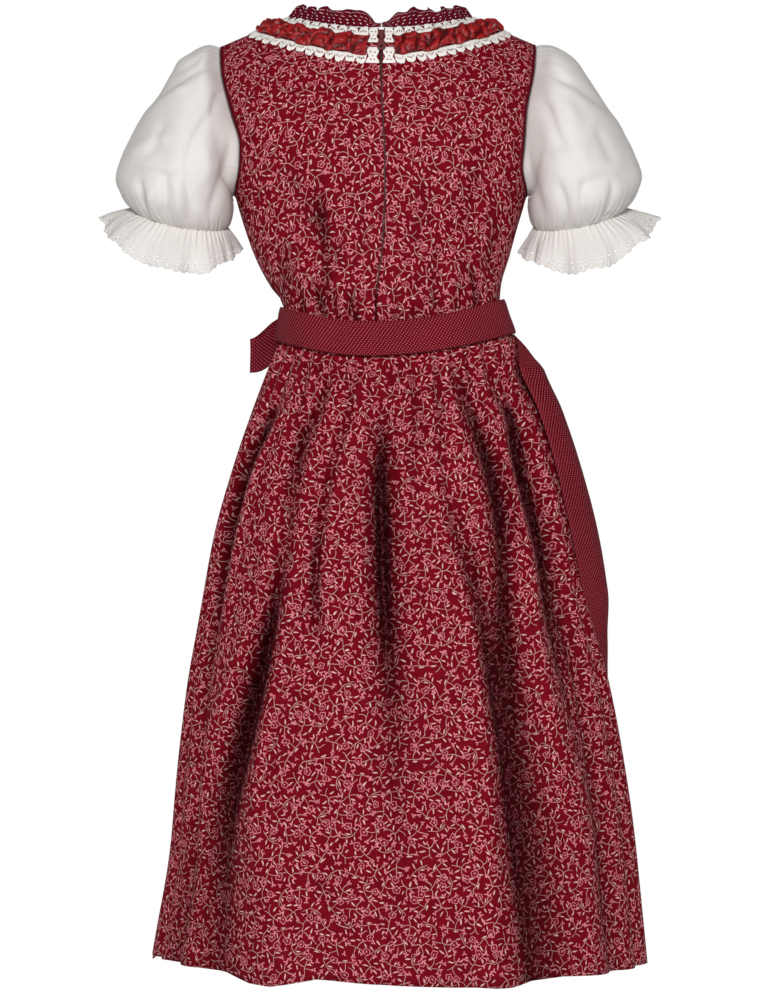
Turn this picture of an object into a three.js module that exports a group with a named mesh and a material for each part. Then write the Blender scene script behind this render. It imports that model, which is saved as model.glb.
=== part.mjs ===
// A girl's dirndl, filled out as when it is worn: bodice, gathered skirt, apron with its tie and bow,
// puff sleeves, and the trims round the neck. Millimetres, +Z up.
// The origin lies midway between the shoulders, at the height where the wearer's shoulders carry it.
// The back faces +Y, the front faces -Y, and the wearer's left is +X.
import * as THREE from "three";

// Driving sizes
const WALL = { bodice: 1.4, skirt: 1.4, apron: 1.2, band: 2, sleeve: 1.1, frill: 1.1, trim: 1, tape: 1 };
const SEAM = 0.3; // between pieces that are sewn edge to edge
const LIFT = 0.35; // between a panel and a trim that lies on it
const NECK = { side: 93, top: 12, backDip: 18, frontDip: 87 }; // the neck opening
const SHOULDER_SLOPE = 0.4375; // fall of the shoulder line for each millimetre outwards
const CROWN = { start: -120, swell: 2, round: 1.6 }; // how the torso rounds over to the shoulders
const UNDERARM = -168;
const WAIST = { seam: -290, bandTop: -273, bandHeight: 34, backDip: 22, sideTilt: 4 };
const HEM = -930;
const SKIRT_LEVEL = -720; // from here down the skirt no longer follows the waist's dip
const TRIM = { lace: 8.5, ruche: 20, drop: 37, rucheHeight: 4.5, puffs: 18 };
const FRILL = { height: 20, waves: 12, wave: 2.6, shoulderLean: 0.55 };
const GATHERS = 24; // round the whole waist
const APRON = { top: -307.6, hem: -880, lift: 1.9, gathers: 18, gather: 3.4 };
const RUFFLE = { waves: 12, wave: 4 };
const BOW = { angle: -48, inner: 7, outer: 12, swell: 5, reach: 70, frontReach: 58, droop: 32, tail: 210, width: 35, tailClear: 12.5 };

// Half widths of the torso to the wearer's left and right, and its depth behind and in front
const TORSO = [
  { z: 30, left: 175, right: 173, back: 86, front: 88 },
  { z: -16, left: 172, right: 170, back: 88, front: 90 },
  { z: -60, left: 168, right: 166, back: 88, front: 92 },
  { z: -110, left: 158, right: 158, back: 88, front: 93 },
  { z: -168, left: 144.2, right: 146, back: 87, front: 92 },
  { z: -199, left: 135, right: 137, back: 86, front: 88 },
  { z: -225, left: 126, right: 130, back: 84.5, front: 84 },
  { z: -256, left: 110, right: 121, back: 81.5, front: 79 },
  { z: -276, left: 96.5, right: 119.5, back: 78, front: 75.2 },
  { z: -315, left: 96, right: 119.5, back: 76.3, front: 75 },
];

// Distance of the armhole's edge from the middle
const ARMHOLE = [
  { z: -14, left: 157, right: 153 },
  { z: -42, left: 155, right: 150.5 },
  { z: -85, left: 145, right: 142.5 },
  { z: -119, left: 136, right: 140.5 },
  { z: -140, left: 137, right: 139 },
  { z: -168, left: 144.2, right: 146 },
];

// Where the two back edges meet: their shared line's distance from the middle, and the gap between them
const CENTRE_BACK = [
  { z: -6, line: -1.5, gap: 5 },
  { z: -41, line: -1, gap: 3 },
  { z: -73, line: -2, gap: 1.8 },
  { z: -150, line: -5, gap: 1.6 },
  { z: -217, line: -3, gap: 1.6 },
  { z: -275, line: 3.8, gap: 1.6 },
  { z: -315, line: 4, gap: 1.6 },
];

// The skirt's envelope, before its folds
const SKIRT = [
  { z: -291, left: 96, right: 119.5, back: 76, front: 76 },
  { z: -303, left: 100, right: 130, back: 77.3, front: 77 },
  { z: -318, left: 105.5, right: 137, back: 84, front: 83 },
  { z: -341, left: 115, right: 140.5, back: 92, front: 91 },
  { z: -383, left: 130, right: 159, back: 104, front: 103 },
  { z: -433, left: 145, right: 175, back: 116, front: 115 },
  { z: -505, left: 165, right: 192, back: 131, front: 130 },
  { z: -589, left: 181, right: 210, back: 146, front: 145 },
  { z: -660, left: 193, right: 230.5, back: 157, front: 156 },
  { z: -766, left: 203.5, right: 249, back: 170, front: 168 },
  { z: -850, left: 213, right: 257.5, back: 178, front: 176 },
  { z: -930, left: 226, right: 266.5, back: 185, front: 183 },
];

// The skirt's largest folds: height and sideways place where each begins and ends, depth and width
const FOLDS = [
  { face: 1, z0: -372, x0: 56, z1: -455, x1: 88, depth: 7, width: 10 },
  { face: 1, z0: -330, x0: 24, z1: -560, x1: 60, depth: 9, width: 9 },
  { face: 1, z0: -345, x0: 9, z1: -430, x1: 9, depth: 4, width: 8 },
  { face: 1, z0: -400, x0: -12, z1: -700, x1: -6, depth: 7, width: 15 },
  { face: 1, z0: -345, x0: -34, z1: -450, x1: -36, depth: 5, width: 8 },
  { face: 1, z0: -350, x0: -72, z1: -560, x1: -117, depth: 9, width: 11 },
  { face: 1, z0: -460, x0: -65, z1: -935, x1: -134, depth: 9, width: 15 },
  { face: 1, z0: -370, x0: -123, z1: -800, x1: -196, depth: 9, width: 14 },
  { face: 1, z0: -385, x0: 120, z1: -620, x1: 176, depth: 8, width: 15 },
  { face: 1, z0: -500, x0: 89, z1: -790, x1: 152, depth: 11, width: 16 },
  { face: 1, z0: -640, x0: 40, z1: -935, x1: 52, depth: 6, width: 22 },
  { face: -1, z0: -360, x0: 95, z1: -935, x1: 165, depth: 9, width: 18 },
  { face: -1, z0: -360, x0: 40, z1: -935, x1: 75, depth: 9, width: 20 },
  { face: -1, z0: -360, x0: -15, z1: -935, x1: -25, depth: 9, width: 20 },
  { face: -1, z0: -360, x0: -75, z1: -935, x1: -120, depth: 9, width: 20 },
  { face: -1, z0: -360, x0: -120, z1: -935, x1: -205, depth: 9, width: 18 },
];

// How far the apron stands off the skirt at its right edge
const APRON_STAND_OFF = [
  { z: -307, off: 0 },
  { z: -327, off: 10 },
  { z: -346, off: 19 },
  { z: -470, off: 20 },
  { z: -561, off: 16 },
  { z: -611, off: 7 },
  { z: -661, off: 0 },
  { z: -880, off: 0 },
];

// The sleeve's rings from the armhole to the elastic and on to the ruffle's edge: the point furthest
// out, the point nearest the body, half the depth, and how far the back hangs below the front
const SLEEVE = [
  { outX: 177, outZ: -17, inX: 147.5, inZ: -168, depth: 62, tilt: 0, sag: 0 },
  { outX: 199, outZ: -31, inX: 146.4, inZ: -172, depth: 74, tilt: 2, sag: 0 },
  { outX: 217, outZ: -58, inX: 145.8, inZ: -176, depth: 80, tilt: 4, sag: 0 },
  { outX: 235, outZ: -83, inX: 146, inZ: -180, depth: 82, tilt: 6, sag: 0 },
  { outX: 252, outZ: -113, inX: 146.6, inZ: -184, depth: 80, tilt: 9, sag: 0 },
  { outX: 264, outZ: -144, inX: 148, inZ: -189, depth: 74, tilt: 12, sag: 0 },
  { outX: 258, outZ: -165, inX: 150, inZ: -194, depth: 60, tilt: 13, sag: 0 },
  { outX: 246, outZ: -180, inX: 153.5, inZ: -198, depth: 45, tilt: 12, sag: 0 },
];
const RUFFLE_RINGS = [
  { outX: 246.6, outZ: -180.6, inX: 153.2, inZ: -198.9, depth: 45.4, tilt: 12.2, sag: 0 },
  { outX: 266, outZ: -183, inX: 146, inZ: -208, depth: 56, tilt: 16, sag: 10 },
  { outX: 279, outZ: -190, inX: 140, inZ: -221, depth: 64, tilt: 19, sag: 19 },
];
const RIGHT_SLEEVE_IN = 3; // the right sleeve reaches out this much less

// Colours, finishes and the materials that share them
const LOOKS = {
  print: { color: 0x7a1626, roughness: 0.85 },
  dots: { color: 0x6d1022, roughness: 0.8 },
  binding: { color: 0x3a0b18, roughness: 0.8 },
  satin: { color: 0xa5151c, roughness: 0.35 },
  lace: { color: 0xf1eae0, roughness: 0.9 },
  cotton: { color: 0xf2f1f1, roughness: 0.9 },
  tape: { color: 0x2e1316, roughness: 0.8 },
  zip: { color: 0x5c262b, roughness: 0.4 },
};

const RAD = Math.PI / 180;
const lerp = THREE.MathUtils.lerp;
const clamp = THREE.MathUtils.clamp;
const smooth = (x, from, to) => THREE.MathUtils.smoothstep(x, Math.min(from, to), Math.max(from, to));
const vec = (x, y, z) => new THREE.Vector3(x, y, z);
const dirndl = new THREE.Group();
dirndl.name = "dirndl";

// One column of a table at height z, on a smooth curve through its rows (highest row first)
function sizeAt(table, z, column) {
  const last = table.length - 1;
  if (z >= table[0].z) return table[0][column];
  if (z <= table[last].z) return table[last][column];
  const i = table.findIndex((row) => row.z <= z) - 1;
  const slope = (a, b) => (table[b][column] - table[a][column]) / (table[b].z - table[a].z);
  const step = table[i + 1].z - table[i].z;
  const t = (z - table[i].z) / step;
  const middle = slope(i, i + 1);
  const tangent = (before) => (before * middle <= 0 ? 0 : (2 * before * middle) / (before + middle));
  const m0 = i > 0 ? tangent(slope(i - 1, i)) : middle;
  const m1 = i + 2 <= last ? tangent(slope(i + 1, i + 2)) : middle;
  const bend = (2 * t ** 3 - 3 * t ** 2 + 1) * table[i][column] + (3 * t ** 2 - 2 * t ** 3) * table[i + 1][column];
  return bend + step * ((t ** 3 - 2 * t ** 2 + t) * m0 + (t ** 3 - t ** 2) * m1);
}

function addMesh(name, geometry, look) {
  geometry.computeVertexNormals();
  const mesh = new THREE.Mesh(geometry, new THREE.MeshStandardMaterial({ ...LOOKS[look], metalness: 0 }));
  mesh.name = name;
  dirndl.add(mesh);
  return mesh;
}

// Direction out of the cloth at each point of a grid: the mean of the facets that meet there
function gridNormals(grid, ring) {
  const cols = grid[0].length;
  const index = [];
  for (let j = 0; j < grid.length - 1; j += 1) {
    for (let i = 0; i < (ring ? cols : cols - 1); i += 1) {
      const [a, b, c, d] = [[i, j], [i + 1, j], [i + 1, j + 1], [i, j + 1]].map(([k, l]) => l * cols + (k % cols));
      index.push(a, b, c, a, c, d);
    }
  }
  const surface = new THREE.BufferGeometry().setFromPoints(grid.flat());
  surface.setIndex(index);
  surface.computeVertexNormals();
  const normals = surface.getAttribute("normal");
  return grid.map((row, j) => row.map((_, i) => vec(0, 0, 0).fromBufferAttribute(normals, j * cols + i)));
}

// A wall of cloth: outer points on a grid of rows, inner points a thickness behind them, and rims.
// Seen from outside, columns run anticlockwise about the garment and rows run upwards.
function clothWall(name, look, grid, { thick, ring = false, inner = null, settle = null }) {
  const rows = grid.length;
  const cols = grid[0].length;
  const normals = gridNormals(grid, ring);
  const back =
    inner ??
    grid.map((row, j) =>
      row.map((point, i) => {
        const behind = point.clone().addScaledVector(normals[j][i], -thick);
        if (settle) settle(behind, point, i, j);
        return behind;
      }),
    );
  const vertices = [...grid.flat(), ...back.flat()];
  const out = (i, j) => j * cols + (i % cols);
  const into = (i, j) => rows * cols + j * cols + (i % cols);
  const index = [];
  const quad = (a, b, c, d) => index.push(a, b, c, a, c, d);
  const spans = ring ? cols : cols - 1;
  for (let j = 0; j < rows - 1; j += 1) {
    for (let i = 0; i < spans; i += 1) {
      quad(out(i, j), out(i + 1, j), out(i + 1, j + 1), out(i, j + 1));
      quad(into(i, j + 1), into(i + 1, j + 1), into(i + 1, j), into(i, j));
    }
  }
  for (let i = 0; i < spans; i += 1) {
    quad(into(i, 0), into(i + 1, 0), out(i + 1, 0), out(i, 0));
    quad(out(i, rows - 1), out(i + 1, rows - 1), into(i + 1, rows - 1), into(i, rows - 1));
  }
  if (!ring) {
    for (let j = 0; j < rows - 1; j += 1) {
      quad(into(0, j), out(0, j), out(0, j + 1), into(0, j + 1));
      quad(out(cols - 1, j), into(cols - 1, j), into(cols - 1, j + 1), out(cols - 1, j + 1));
    }
  }
  const geometry = new THREE.BufferGeometry().setFromPoints(vertices);
  geometry.setIndex(index);
  addMesh(name, geometry, look);
  return { grid, back };
}

// Torso

// Height of the shoulder line above a point this far from the middle
function shoulderLine(aside) {
  return NECK.top + (NECK.side - aside) * SHOULDER_SLOPE;
}

// Depth of the torso's surface: an ellipse at each height that rounds over to the shoulder line
function torsoDepth(face, half, x, z) {
  const side = sizeAt(TORSO, z, half > 0 ? "left" : "right");
  const depth = sizeAt(TORSO, z, face > 0 ? "back" : "front");
  const aside = Math.abs(x);
  const rise = clamp((z - CROWN.start) / (shoulderLine(aside) - CROWN.start), 0, 1);
  const crown = (1 - rise ** CROWN.swell) ** (1 / CROWN.round);
  return face * depth * Math.sqrt(Math.max(0, 1 - (aside / side) ** 2)) * crown;
}

// How far the waist lies below its height at the sides; angle 0 is the wearer's left, 90 the back
function waistLine(angle) {
  const behind = Math.max(0, Math.sin(angle * RAD));
  return -WAIST.sideTilt * Math.cos(angle * RAD) - WAIST.backDip * behind ** 2;
}

// A panel of the bodice is a fan of columns. Each starts at the neck, at so many degrees from the
// middle, crosses the trims, and ends at the waist, the side seam or the armhole.
const FAN = { waistEnds: 22, sideEnds: 34 };
const COLUMNS = [0, 5.5, 10, 14, 18, 22, 23.6, 28, 34, 38, 44, 51, 58, 66, 74, 82, 90];
const TRIM_ROWS = [0, TRIM.lace, TRIM.lace + TRIM.ruche, TRIM.drop];
const PANEL_STEPS = 5;

// Where a line at this distance from the neck edge crosses a column, sideways and in height
function trimLine(face, degrees, distance) {
  const along = Math.sin(degrees * RAD);
  const middle = Math.cos(degrees * RAD);
  const dip = face > 0 ? NECK.backDip * (1 - along ** 1.9) : NECK.frontDip * middle ** 1.3;
  const down = middle + SHOULDER_SLOPE * along ** 6;
  return { x: (NECK.side + distance) * along, z: NECK.top - dip - distance * down };
}

function panelEdge(face, half, degrees) {
  const column = half > 0 ? "left" : "right";
  if (degrees <= FAN.waistEnds) {
    const turn = (90 * degrees) / FAN.waistEnds;
    const angle = face * (half > 0 ? 90 - turn : 90 + turn);
    return { x: sizeAt(TORSO, WAIST.seam, column) * Math.sin(turn * RAD), z: WAIST.seam + waistLine(angle) };
  }
  const sideLow = WAIST.seam + waistLine(half > 0 ? 0 : 180);
  if (degrees <= FAN.sideEnds) {
    const part = (degrees - FAN.waistEnds) / (FAN.sideEnds - FAN.waistEnds);
    const z = lerp(sideLow, UNDERARM, part);
    return { x: sizeAt(TORSO, z, column), z };
  }
  const tip = sizeAt(ARMHOLE, 0, column);
  const part = (degrees - FAN.sideEnds) / (90 - FAN.sideEnds);
  const z = lerp(UNDERARM, shoulderLine(tip), part);
  return { x: degrees >= 90 ? tip : sizeAt(ARMHOLE, z, column), z };
}

// A point of the bodice. Row is a distance from the neck edge, or "reach" from 0 to 1 on to the edge.
function bodicePoint(face, half, degrees, distance, reach = 0) {
  const start = trimLine(face, degrees, distance);
  const end = panelEdge(face, half, degrees);
  const aside = lerp(start.x, end.x, reach);
  const z = lerp(start.z, end.z, reach);
  const y = torsoDepth(face, half, aside, z);
  const seamed = Math.abs(y) < SEAM / 2 || degrees >= 90 ? (face * SEAM) / 2 : y;
  const opening = face > 0 ? Math.max(0, 1 - aside / 60) : 0;
  const line = sizeAt(CENTRE_BACK, z, "line");
  const gap = sizeAt(CENTRE_BACK, z, "gap");
  return vec(half * aside + opening * (line + (half * gap) / 2), seamed, z);
}

const PANEL_ROWS = [
  ...TRIM_ROWS.map((distance) => ({ distance, reach: 0 })),
  ...Array.from({ length: PANEL_STEPS }, (_, k) => ({
    distance: TRIM.drop,
    reach: Math.sin((90 * RAD * (k + 1)) / PANEL_STEPS),
  })),
].reverse();

function panelGrid(face, columns) {
  return PANEL_ROWS.map(({ distance, reach }) =>
    columns.map(({ half, degrees }) => bodicePoint(face, half, degrees, distance, reach)),
  );
}

const leftColumns = COLUMNS.map((degrees) => ({ half: 1, degrees }));
const rightColumns = COLUMNS.map((degrees) => ({ half: -1, degrees }));

// Keeps the hidden side of a panel behind its seams
function settlePanel(face, centreColumn) {
  return (behind, point, i, j) => {
    behind.y = face * Math.max(face * behind.y, SEAM / 2);
    if (Math.abs(point.y) < SEAM) behind.y = point.y;
    if (i === centreColumn) behind.x = point.x;
    if (j === 0) behind.z = Math.max(behind.z, point.z);
  };
}

const backLeft = panelGrid(1, [...leftColumns].reverse());
const backRight = panelGrid(1, rightColumns);
const front = panelGrid(-1, [...[...rightColumns].reverse(), ...leftColumns.slice(1)]);
const wallLeft = clothWall("back_bodice_left", "print", backLeft, {
  thick: WALL.bodice,
  settle: settlePanel(1, COLUMNS.length - 1),
});
const wallRight = clothWall("back_bodice_right", "print", backRight, {
  thick: WALL.bodice,
  settle: settlePanel(1, 0),
});
const wallFront = clothWall("front_bodice", "print", front, {
  thick: WALL.bodice,
  settle: settlePanel(-1, -1),
});

// Trims round the neck

// The panels' columns in one line: from the back opening over the wearer's left shoulder, across the
// front and over the right shoulder to the back opening. Whole turns of "at" are columns.
const ROUND = [
  ...COLUMNS.map((degrees) => ({ face: 1, half: 1, degrees })),
  ...[...COLUMNS].reverse().slice(1).map((degrees) => ({ face: -1, half: 1, degrees })),
  ...COLUMNS.slice(1).map((degrees) => ({ face: -1, half: -1, degrees })),
  ...[...COLUMNS].reverse().slice(1).map((degrees) => ({ face: 1, half: -1, degrees })),
];

// A point on the panels' flat facets: "at" counts columns, "distance" is from the neck edge
function facetPoint(at, distance) {
  const onColumn = (k) => {
    const { face, half, degrees } = ROUND[k];
    const row = clamp(TRIM_ROWS.findIndex((d) => d > distance) - 1, 0, TRIM_ROWS.length - 2);
    const above = distance >= TRIM.drop ? TRIM_ROWS.length - 2 : row;
    const part = (distance - TRIM_ROWS[above]) / (TRIM_ROWS[above + 1] - TRIM_ROWS[above]);
    const top = bodicePoint(face, half, degrees, TRIM_ROWS[above]);
    const low = bodicePoint(face, half, degrees, TRIM_ROWS[above + 1]);
    return top.lerp(low, part);
  };
  const k = clamp(Math.floor(at), 0, ROUND.length - 2);
  const point = onColumn(k).lerp(onColumn(k + 1), at - k);
  if (ROUND[Math.round(at)].degrees >= 90 && Math.abs(at - Math.round(at)) < 0.001) point.y = 0;
  return point;
}

// Direction out of the panels, from the facet on each side
function facetNormal(at, distance) {
  const step = 0.5;
  const before = facetPoint(clamp(at - step, 0, ROUND.length - 1), distance);
  const after = facetPoint(clamp(at + step, 0, ROUND.length - 1), distance);
  const high = facetPoint(at, Math.max(distance - 4, 0));
  const low = facetPoint(at, Math.min(distance + 4, TRIM.drop));
  return high.sub(low).cross(after.sub(before)).normalize();
}

// A strip on the panels, from column to column and between two distances from the neck edge.
// The height function gives its thickness at each column and from 0 at its upper edge to 1 at its lower.
function trimStrip(name, look, { from, to, top, low, perColumn = 1, rows = 1, height, lift = LIFT }) {
  const count = Math.round((to - from) * perColumn);
  const layer = (extra) =>
    Array.from({ length: rows + 1 }, (_, j) =>
      Array.from({ length: count + 1 }, (__, i) => {
        const at = lerp(to, from, i / count);
        const across = 1 - j / rows;
        const distance = lerp(top, low, across);
        const raise = lift + (extra ? height(i / count, across) : 0);
        return facetPoint(at, distance).addScaledVector(facetNormal(at, distance), raise);
      }),
    );
  return clothWall(name, look, layer(true), { inner: layer(false) });
}

const roundEnds = { from: 1, to: ROUND.length - 2 };
const flat = () => WALL.trim;
const puffed = (along, across) => {
  const puff = Math.abs(Math.sin(Math.PI * TRIM.puffs * 2 * along));
  return 1.2 + (TRIM.rucheHeight - 1.2) * puff * Math.sin(Math.PI * (0.18 + 0.64 * across));
};
const laceEdge = 0.2;
trimStrip("upper_lace", "lace", { ...roundEnds, top: laceEdge, low: TRIM.lace - laceEdge, height: flat });
trimStrip("satin_ruche", "satin", {
  ...roundEnds,
  top: TRIM.lace + laceEdge,
  low: TRIM.lace + TRIM.ruche - laceEdge,
  perColumn: 2,
  rows: 2,
  height: puffed,
  lift: 0.7,
});
trimStrip("lower_lace", "lace", {
  ...roundEnds,
  lift: 0.5,
  top: TRIM.lace + TRIM.ruche + laceEdge,
  low: TRIM.drop - laceEdge,
  height: flat,
});

// The lace's ends turn down and up beside the back opening, one pair on each side
const lastColumn = ROUND.length - 1;
const laceEnds = [
  { name: "lace_end_upper_left", from: 0.05, to: 0.92, top: laceEdge, low: 16 },
  { name: "lace_end_lower_left", from: 0.05, to: 0.92, top: 21, low: TRIM.drop - laceEdge },
  { name: "lace_end_upper_right", from: lastColumn - 0.92, to: lastColumn - 0.05, top: laceEdge, low: 16 },
  { name: "lace_end_lower_right", from: lastColumn - 0.92, to: lastColumn - 0.05, top: 21, low: TRIM.drop - laceEdge },
];
for (const { name, ...place } of laceEnds) {
  trimStrip(name, "lace", { ...place, perColumn: 1 / (place.to - place.from), rows: 2, height: flat });
}

// The frill stands on the neck edge, lower at the back opening, leaning in over the shoulders
function frillGrid() {
  const perColumn = 2;
  const count = (ROUND.length - 1) * perColumn;
  const rows = [0, 1];
  return rows.map((up) =>
    Array.from({ length: count + 1 }, (_, i) => {
      const at = (ROUND.length - 1) * (1 - i / count);
      const base = facetPoint(clamp(at, 0.02, ROUND.length - 1.02), 0);
      const end = Math.min(at, ROUND.length - 1 - at);
      const height = FRILL.height * (0.25 + 0.75 * smooth(end, 0, 2.5));
      const outwards = vec(base.x, base.y, 0).normalize();
      const shoulder = Math.abs(outwards.x) ** 3;
      const wave = FRILL.wave * Math.cos(Math.PI * 2 * FRILL.waves * 2 * (i / count)) * up;
      const rise = height * up * lerp(1, 0.65, shoulder);
      return base
        .addScaledVector(outwards, wave - rise * FRILL.shoulderLean * shoulder)
        .add(vec(0, 0, SEAM + 0.3 + rise));
    }),
  );
}
clothWall("collar_frill", "dots", frillGrid(), { thick: WALL.frill });

// Zip

// The tape lies behind the opening, from edge to edge of the first columns
const TAPE = { halfWidth: 8, behind: WALL.bodice + 0.6 };
function tapeGrid(depth) {
  return PANEL_ROWS.map(({ distance, reach }) =>
    [1, 0, -1].map((across) => {
      const onHalf = (half) => {
        const middle = bodicePoint(1, half, 0, distance, reach);
        const beside = bodicePoint(1, half, COLUMNS[1], distance, reach);
        return middle.lerp(beside, clamp(TAPE.halfWidth / Math.abs(beside.x), 0, 1));
      };
      const point = across === 0 ? onHalf(1).lerp(onHalf(-1), 0.5) : onHalf(across);
      return point.add(vec(0, -depth, 0));
    }),
  ).slice(0, -1);
}
clothWall("zip_tape", "tape", tapeGrid(TAPE.behind), { inner: tapeGrid(TAPE.behind + WALL.tape) });

// The slider is a small channel over the top of the opening, and the pull tab hangs in it.
// Both are made flat, with the tab hanging down, and are turned to lie along the back.
const ZIP = { top: -9, width: 7, height: 7, plate: 1.4, ear: 1.2, channel: 3.6, pivotDown: 1.6 };
const TAB = { neck: 1.5, wide: 4.4, length: 22, thick: 1.1, hole: 1.3 };
const zipTop = bodicePoint(1, 1, 0, 3);
const zipLow = bodicePoint(1, 1, 0, 27);
const zipSlope = Math.atan2(zipLow.y - zipTop.y, zipTop.z - zipLow.z);
const zipPlace = new THREE.Group();
zipPlace.position.set(sizeAt(CENTRE_BACK, ZIP.top, "line"), zipTop.y + LIFT * 2 + WALL.trim, zipTop.z);
zipPlace.rotation.x = zipSlope;
dirndl.add(zipPlace);

function zipPiece(name, geometry) {
  const mesh = addMesh(name, geometry, "zip");
  zipPlace.add(mesh);
  return mesh;
}
const half = ZIP.width / 2;
const channel = new THREE.Shape([
  new THREE.Vector2(-half, 0),
  new THREE.Vector2(half, 0),
  new THREE.Vector2(half, ZIP.channel),
  new THREE.Vector2(half - ZIP.ear, ZIP.channel),
  new THREE.Vector2(half - ZIP.ear, ZIP.plate),
  new THREE.Vector2(ZIP.ear - half, ZIP.plate),
  new THREE.Vector2(ZIP.ear - half, ZIP.channel),
  new THREE.Vector2(-half, ZIP.channel),
]);
const sliderForm = { depth: ZIP.height, bevelEnabled: false };
const slider = zipPiece("zip_slider", new THREE.ExtrudeGeometry(channel, sliderForm));
slider.position.z = -ZIP.height;

// A teardrop plate with two holes, its top between the slider's ears
const drop = new THREE.Shape();
drop.moveTo(-TAB.neck, 0.8);
drop.lineTo(-TAB.neck, -ZIP.height + 1);
drop.bezierCurveTo(-TAB.neck, -11, -TAB.wide, -12, -TAB.wide, -TAB.length + TAB.wide);
drop.absarc(0, -TAB.length + TAB.wide, TAB.wide, Math.PI, 2 * Math.PI, false);
drop.bezierCurveTo(TAB.wide, -12, TAB.neck, -11, TAB.neck, -ZIP.height + 1);
drop.lineTo(TAB.neck, 0.8);
drop.closePath();
for (const down of [9.6, TAB.length - TAB.wide]) {
  const hole = new THREE.Path();
  hole.absarc(0, -down, down < 10 ? 0.8 : TAB.hole, 0, 2 * Math.PI, true);
  drop.holes.push(hole);
}
const tabForm = { depth: TAB.thick, bevelEnabled: false, curveSegments: 6 };
const tab = zipPiece("zip_pull_tab", new THREE.ExtrudeGeometry(drop, tabForm));
tab.rotation.x = Math.PI / 2;
tab.position.set(0, ZIP.plate + 0.5 + TAB.thick, -ZIP.pivotDown);

// Binding and sleeves

// The armhole's edge as a ring: from the shoulder down the back, under the arm and up the front.
// At each point: out of the cloth, and away from the bodice along its surface.
function armholeFrames(half) {
  const edgeOf = (wall, outerFirst) => {
    const pairs = wall.grid[0].map((point, i) => ({ point: point.clone(), behind: wall.back[0][i] }));
    const own = outerFirst ? pairs : pairs.reverse();
    return own.slice(0, COLUMNS.filter((degrees) => degrees >= FAN.sideEnds).length);
  };
  const down = edgeOf(half > 0 ? wallLeft : wallRight, half > 0);
  const up = edgeOf(wallFront, half < 0);
  const ring = [...down, ...up.reverse().slice(1, -1)];
  const tip = ring[0];
  const under = ring[down.length - 1];
  for (const end of [tip, under]) {
    end.point = end.point.clone().setY(0);
    end.behind = end.behind.clone().setY(0);
  }
  const n = ring.length;
  const centre = vec(half * 190, 0, -92);
  return ring.map(({ point, behind }, i) => {
    const tangent = ring[(i + 1) % n].point.clone().sub(ring[(i + n - 1) % n].point).normalize();
    const out = point.clone().sub(behind).normalize();
    const away = tangent.clone().cross(out).normalize();
    if (away.dot(centre.clone().sub(point)) < 0) away.negate();
    return { point, out, away };
  });
}

// Twice as many places round the ring, for the sleeve
function finer(ring) {
  return ring.flatMap((frame, i) => {
    const next = ring[(i + 1) % ring.length];
    const between = (key) => frame[key].clone().lerp(next[key], 0.5);
    return [frame, { point: between("point"), out: between("out").normalize(), away: between("away").normalize() }];
  });
}

const BINDING = { gap: 0.75, width: 3, proud: 0.2, behind: 1.7 };
function bindingWall(name, frames, half) {
  const at = (frame, aside, raise) =>
    frame.point.clone().addScaledVector(frame.away, aside).addScaledVector(frame.out, raise);
  const ordered = half > 0 ? [...frames].reverse() : frames;
  const rowAt = (raise) => [
    ordered.map((frame) => at(frame, BINDING.gap, raise)),
    ordered.map((frame) => at(frame, BINDING.gap + BINDING.width, raise)),
  ];
  const face = rowAt(BINDING.proud);
  const behind = rowAt(-BINDING.behind);
  clothWall(name, "binding", face, { ring: true, inner: behind });
}

// Angles round a sleeve that follow the armhole's points, two for each
function sleeveTurns() {
  const down = COLUMNS.filter((degrees) => degrees >= FAN.sideEnds)
    .reverse()
    .map((degrees) => Math.acos((2 * (degrees - FAN.sideEnds)) / (90 - FAN.sideEnds) - 1));
  const turns = [...down, ...down.slice(1, -1).reverse().map((turn) => 2 * Math.PI - turn)];
  return turns.flatMap((turn, k) => [turn, (turn + (turns[k + 1] ?? 2 * Math.PI)) / 2]);
}

// A sleeve's ring at each angle: 0 is furthest out, 90 the back, 180 nearest the body
function sleeveRing(row, half, turns) {
  const inset = half > 0 ? 0 : RIGHT_SLEEVE_IN;
  return turns.map((turn) => {
    const part = (1 + Math.cos(turn)) / 2;
    const behind = Math.sin(turn);
    const x = lerp(row.inX + (half > 0 ? 0 : 1.6), row.outX - inset, part);
    const z = lerp(row.inZ, row.outZ, part) - row.tilt * behind - row.sag * behind ** 2;
    return vec(half * x, row.depth * behind, z);
  });
}

function sleeve(half, side) {
  const frames = armholeFrames(half);
  bindingWall(`armhole_binding_${side}`, frames, half);
  const start = finer(frames).map((frame) =>
    frame.point.clone().addScaledVector(frame.away, BINDING.width + 2 * BINDING.gap).addScaledVector(frame.out, 1),
  );
  const rings = [start, ...SLEEVE.map((row) => sleeveRing(row, half, sleeveTurns()))];
  const turned = half > 0 ? rings : rings.map((ring) => [...ring].reverse());
  clothWall(`sleeve_${side}`, "cotton", turned.reverse(), { thick: WALL.sleeve, ring: true });
  const waves = RUFFLE_RINGS.map((row, level) => {
    const count = RUFFLE.waves * 4;
    const swing = (RUFFLE.wave * level) / (RUFFLE_RINGS.length - 1);
    const turns = Array.from({ length: count }, (_, k) => (2 * Math.PI * k) / count);
    const ring = sleeveRing(row, half, turns);
    const centre = ring.reduce((sum, point) => sum.add(point), vec(0, 0, 0)).divideScalar(count);
    return ring.map((point, k) => {
      const outwards = point.clone().sub(centre).normalize();
      return point.addScaledVector(outwards, swing * Math.cos((2 * Math.PI * RUFFLE.waves * k) / count));
    });
  });
  const ruffle = half > 0 ? waves : waves.map((ring) => [...ring].reverse());
  clothWall(`sleeve_ruffle_${side}`, "cotton", ruffle.reverse(), { thick: WALL.sleeve, ring: true });
}
sleeve(1, "left");
sleeve(-1, "right");

// Skirt

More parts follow.
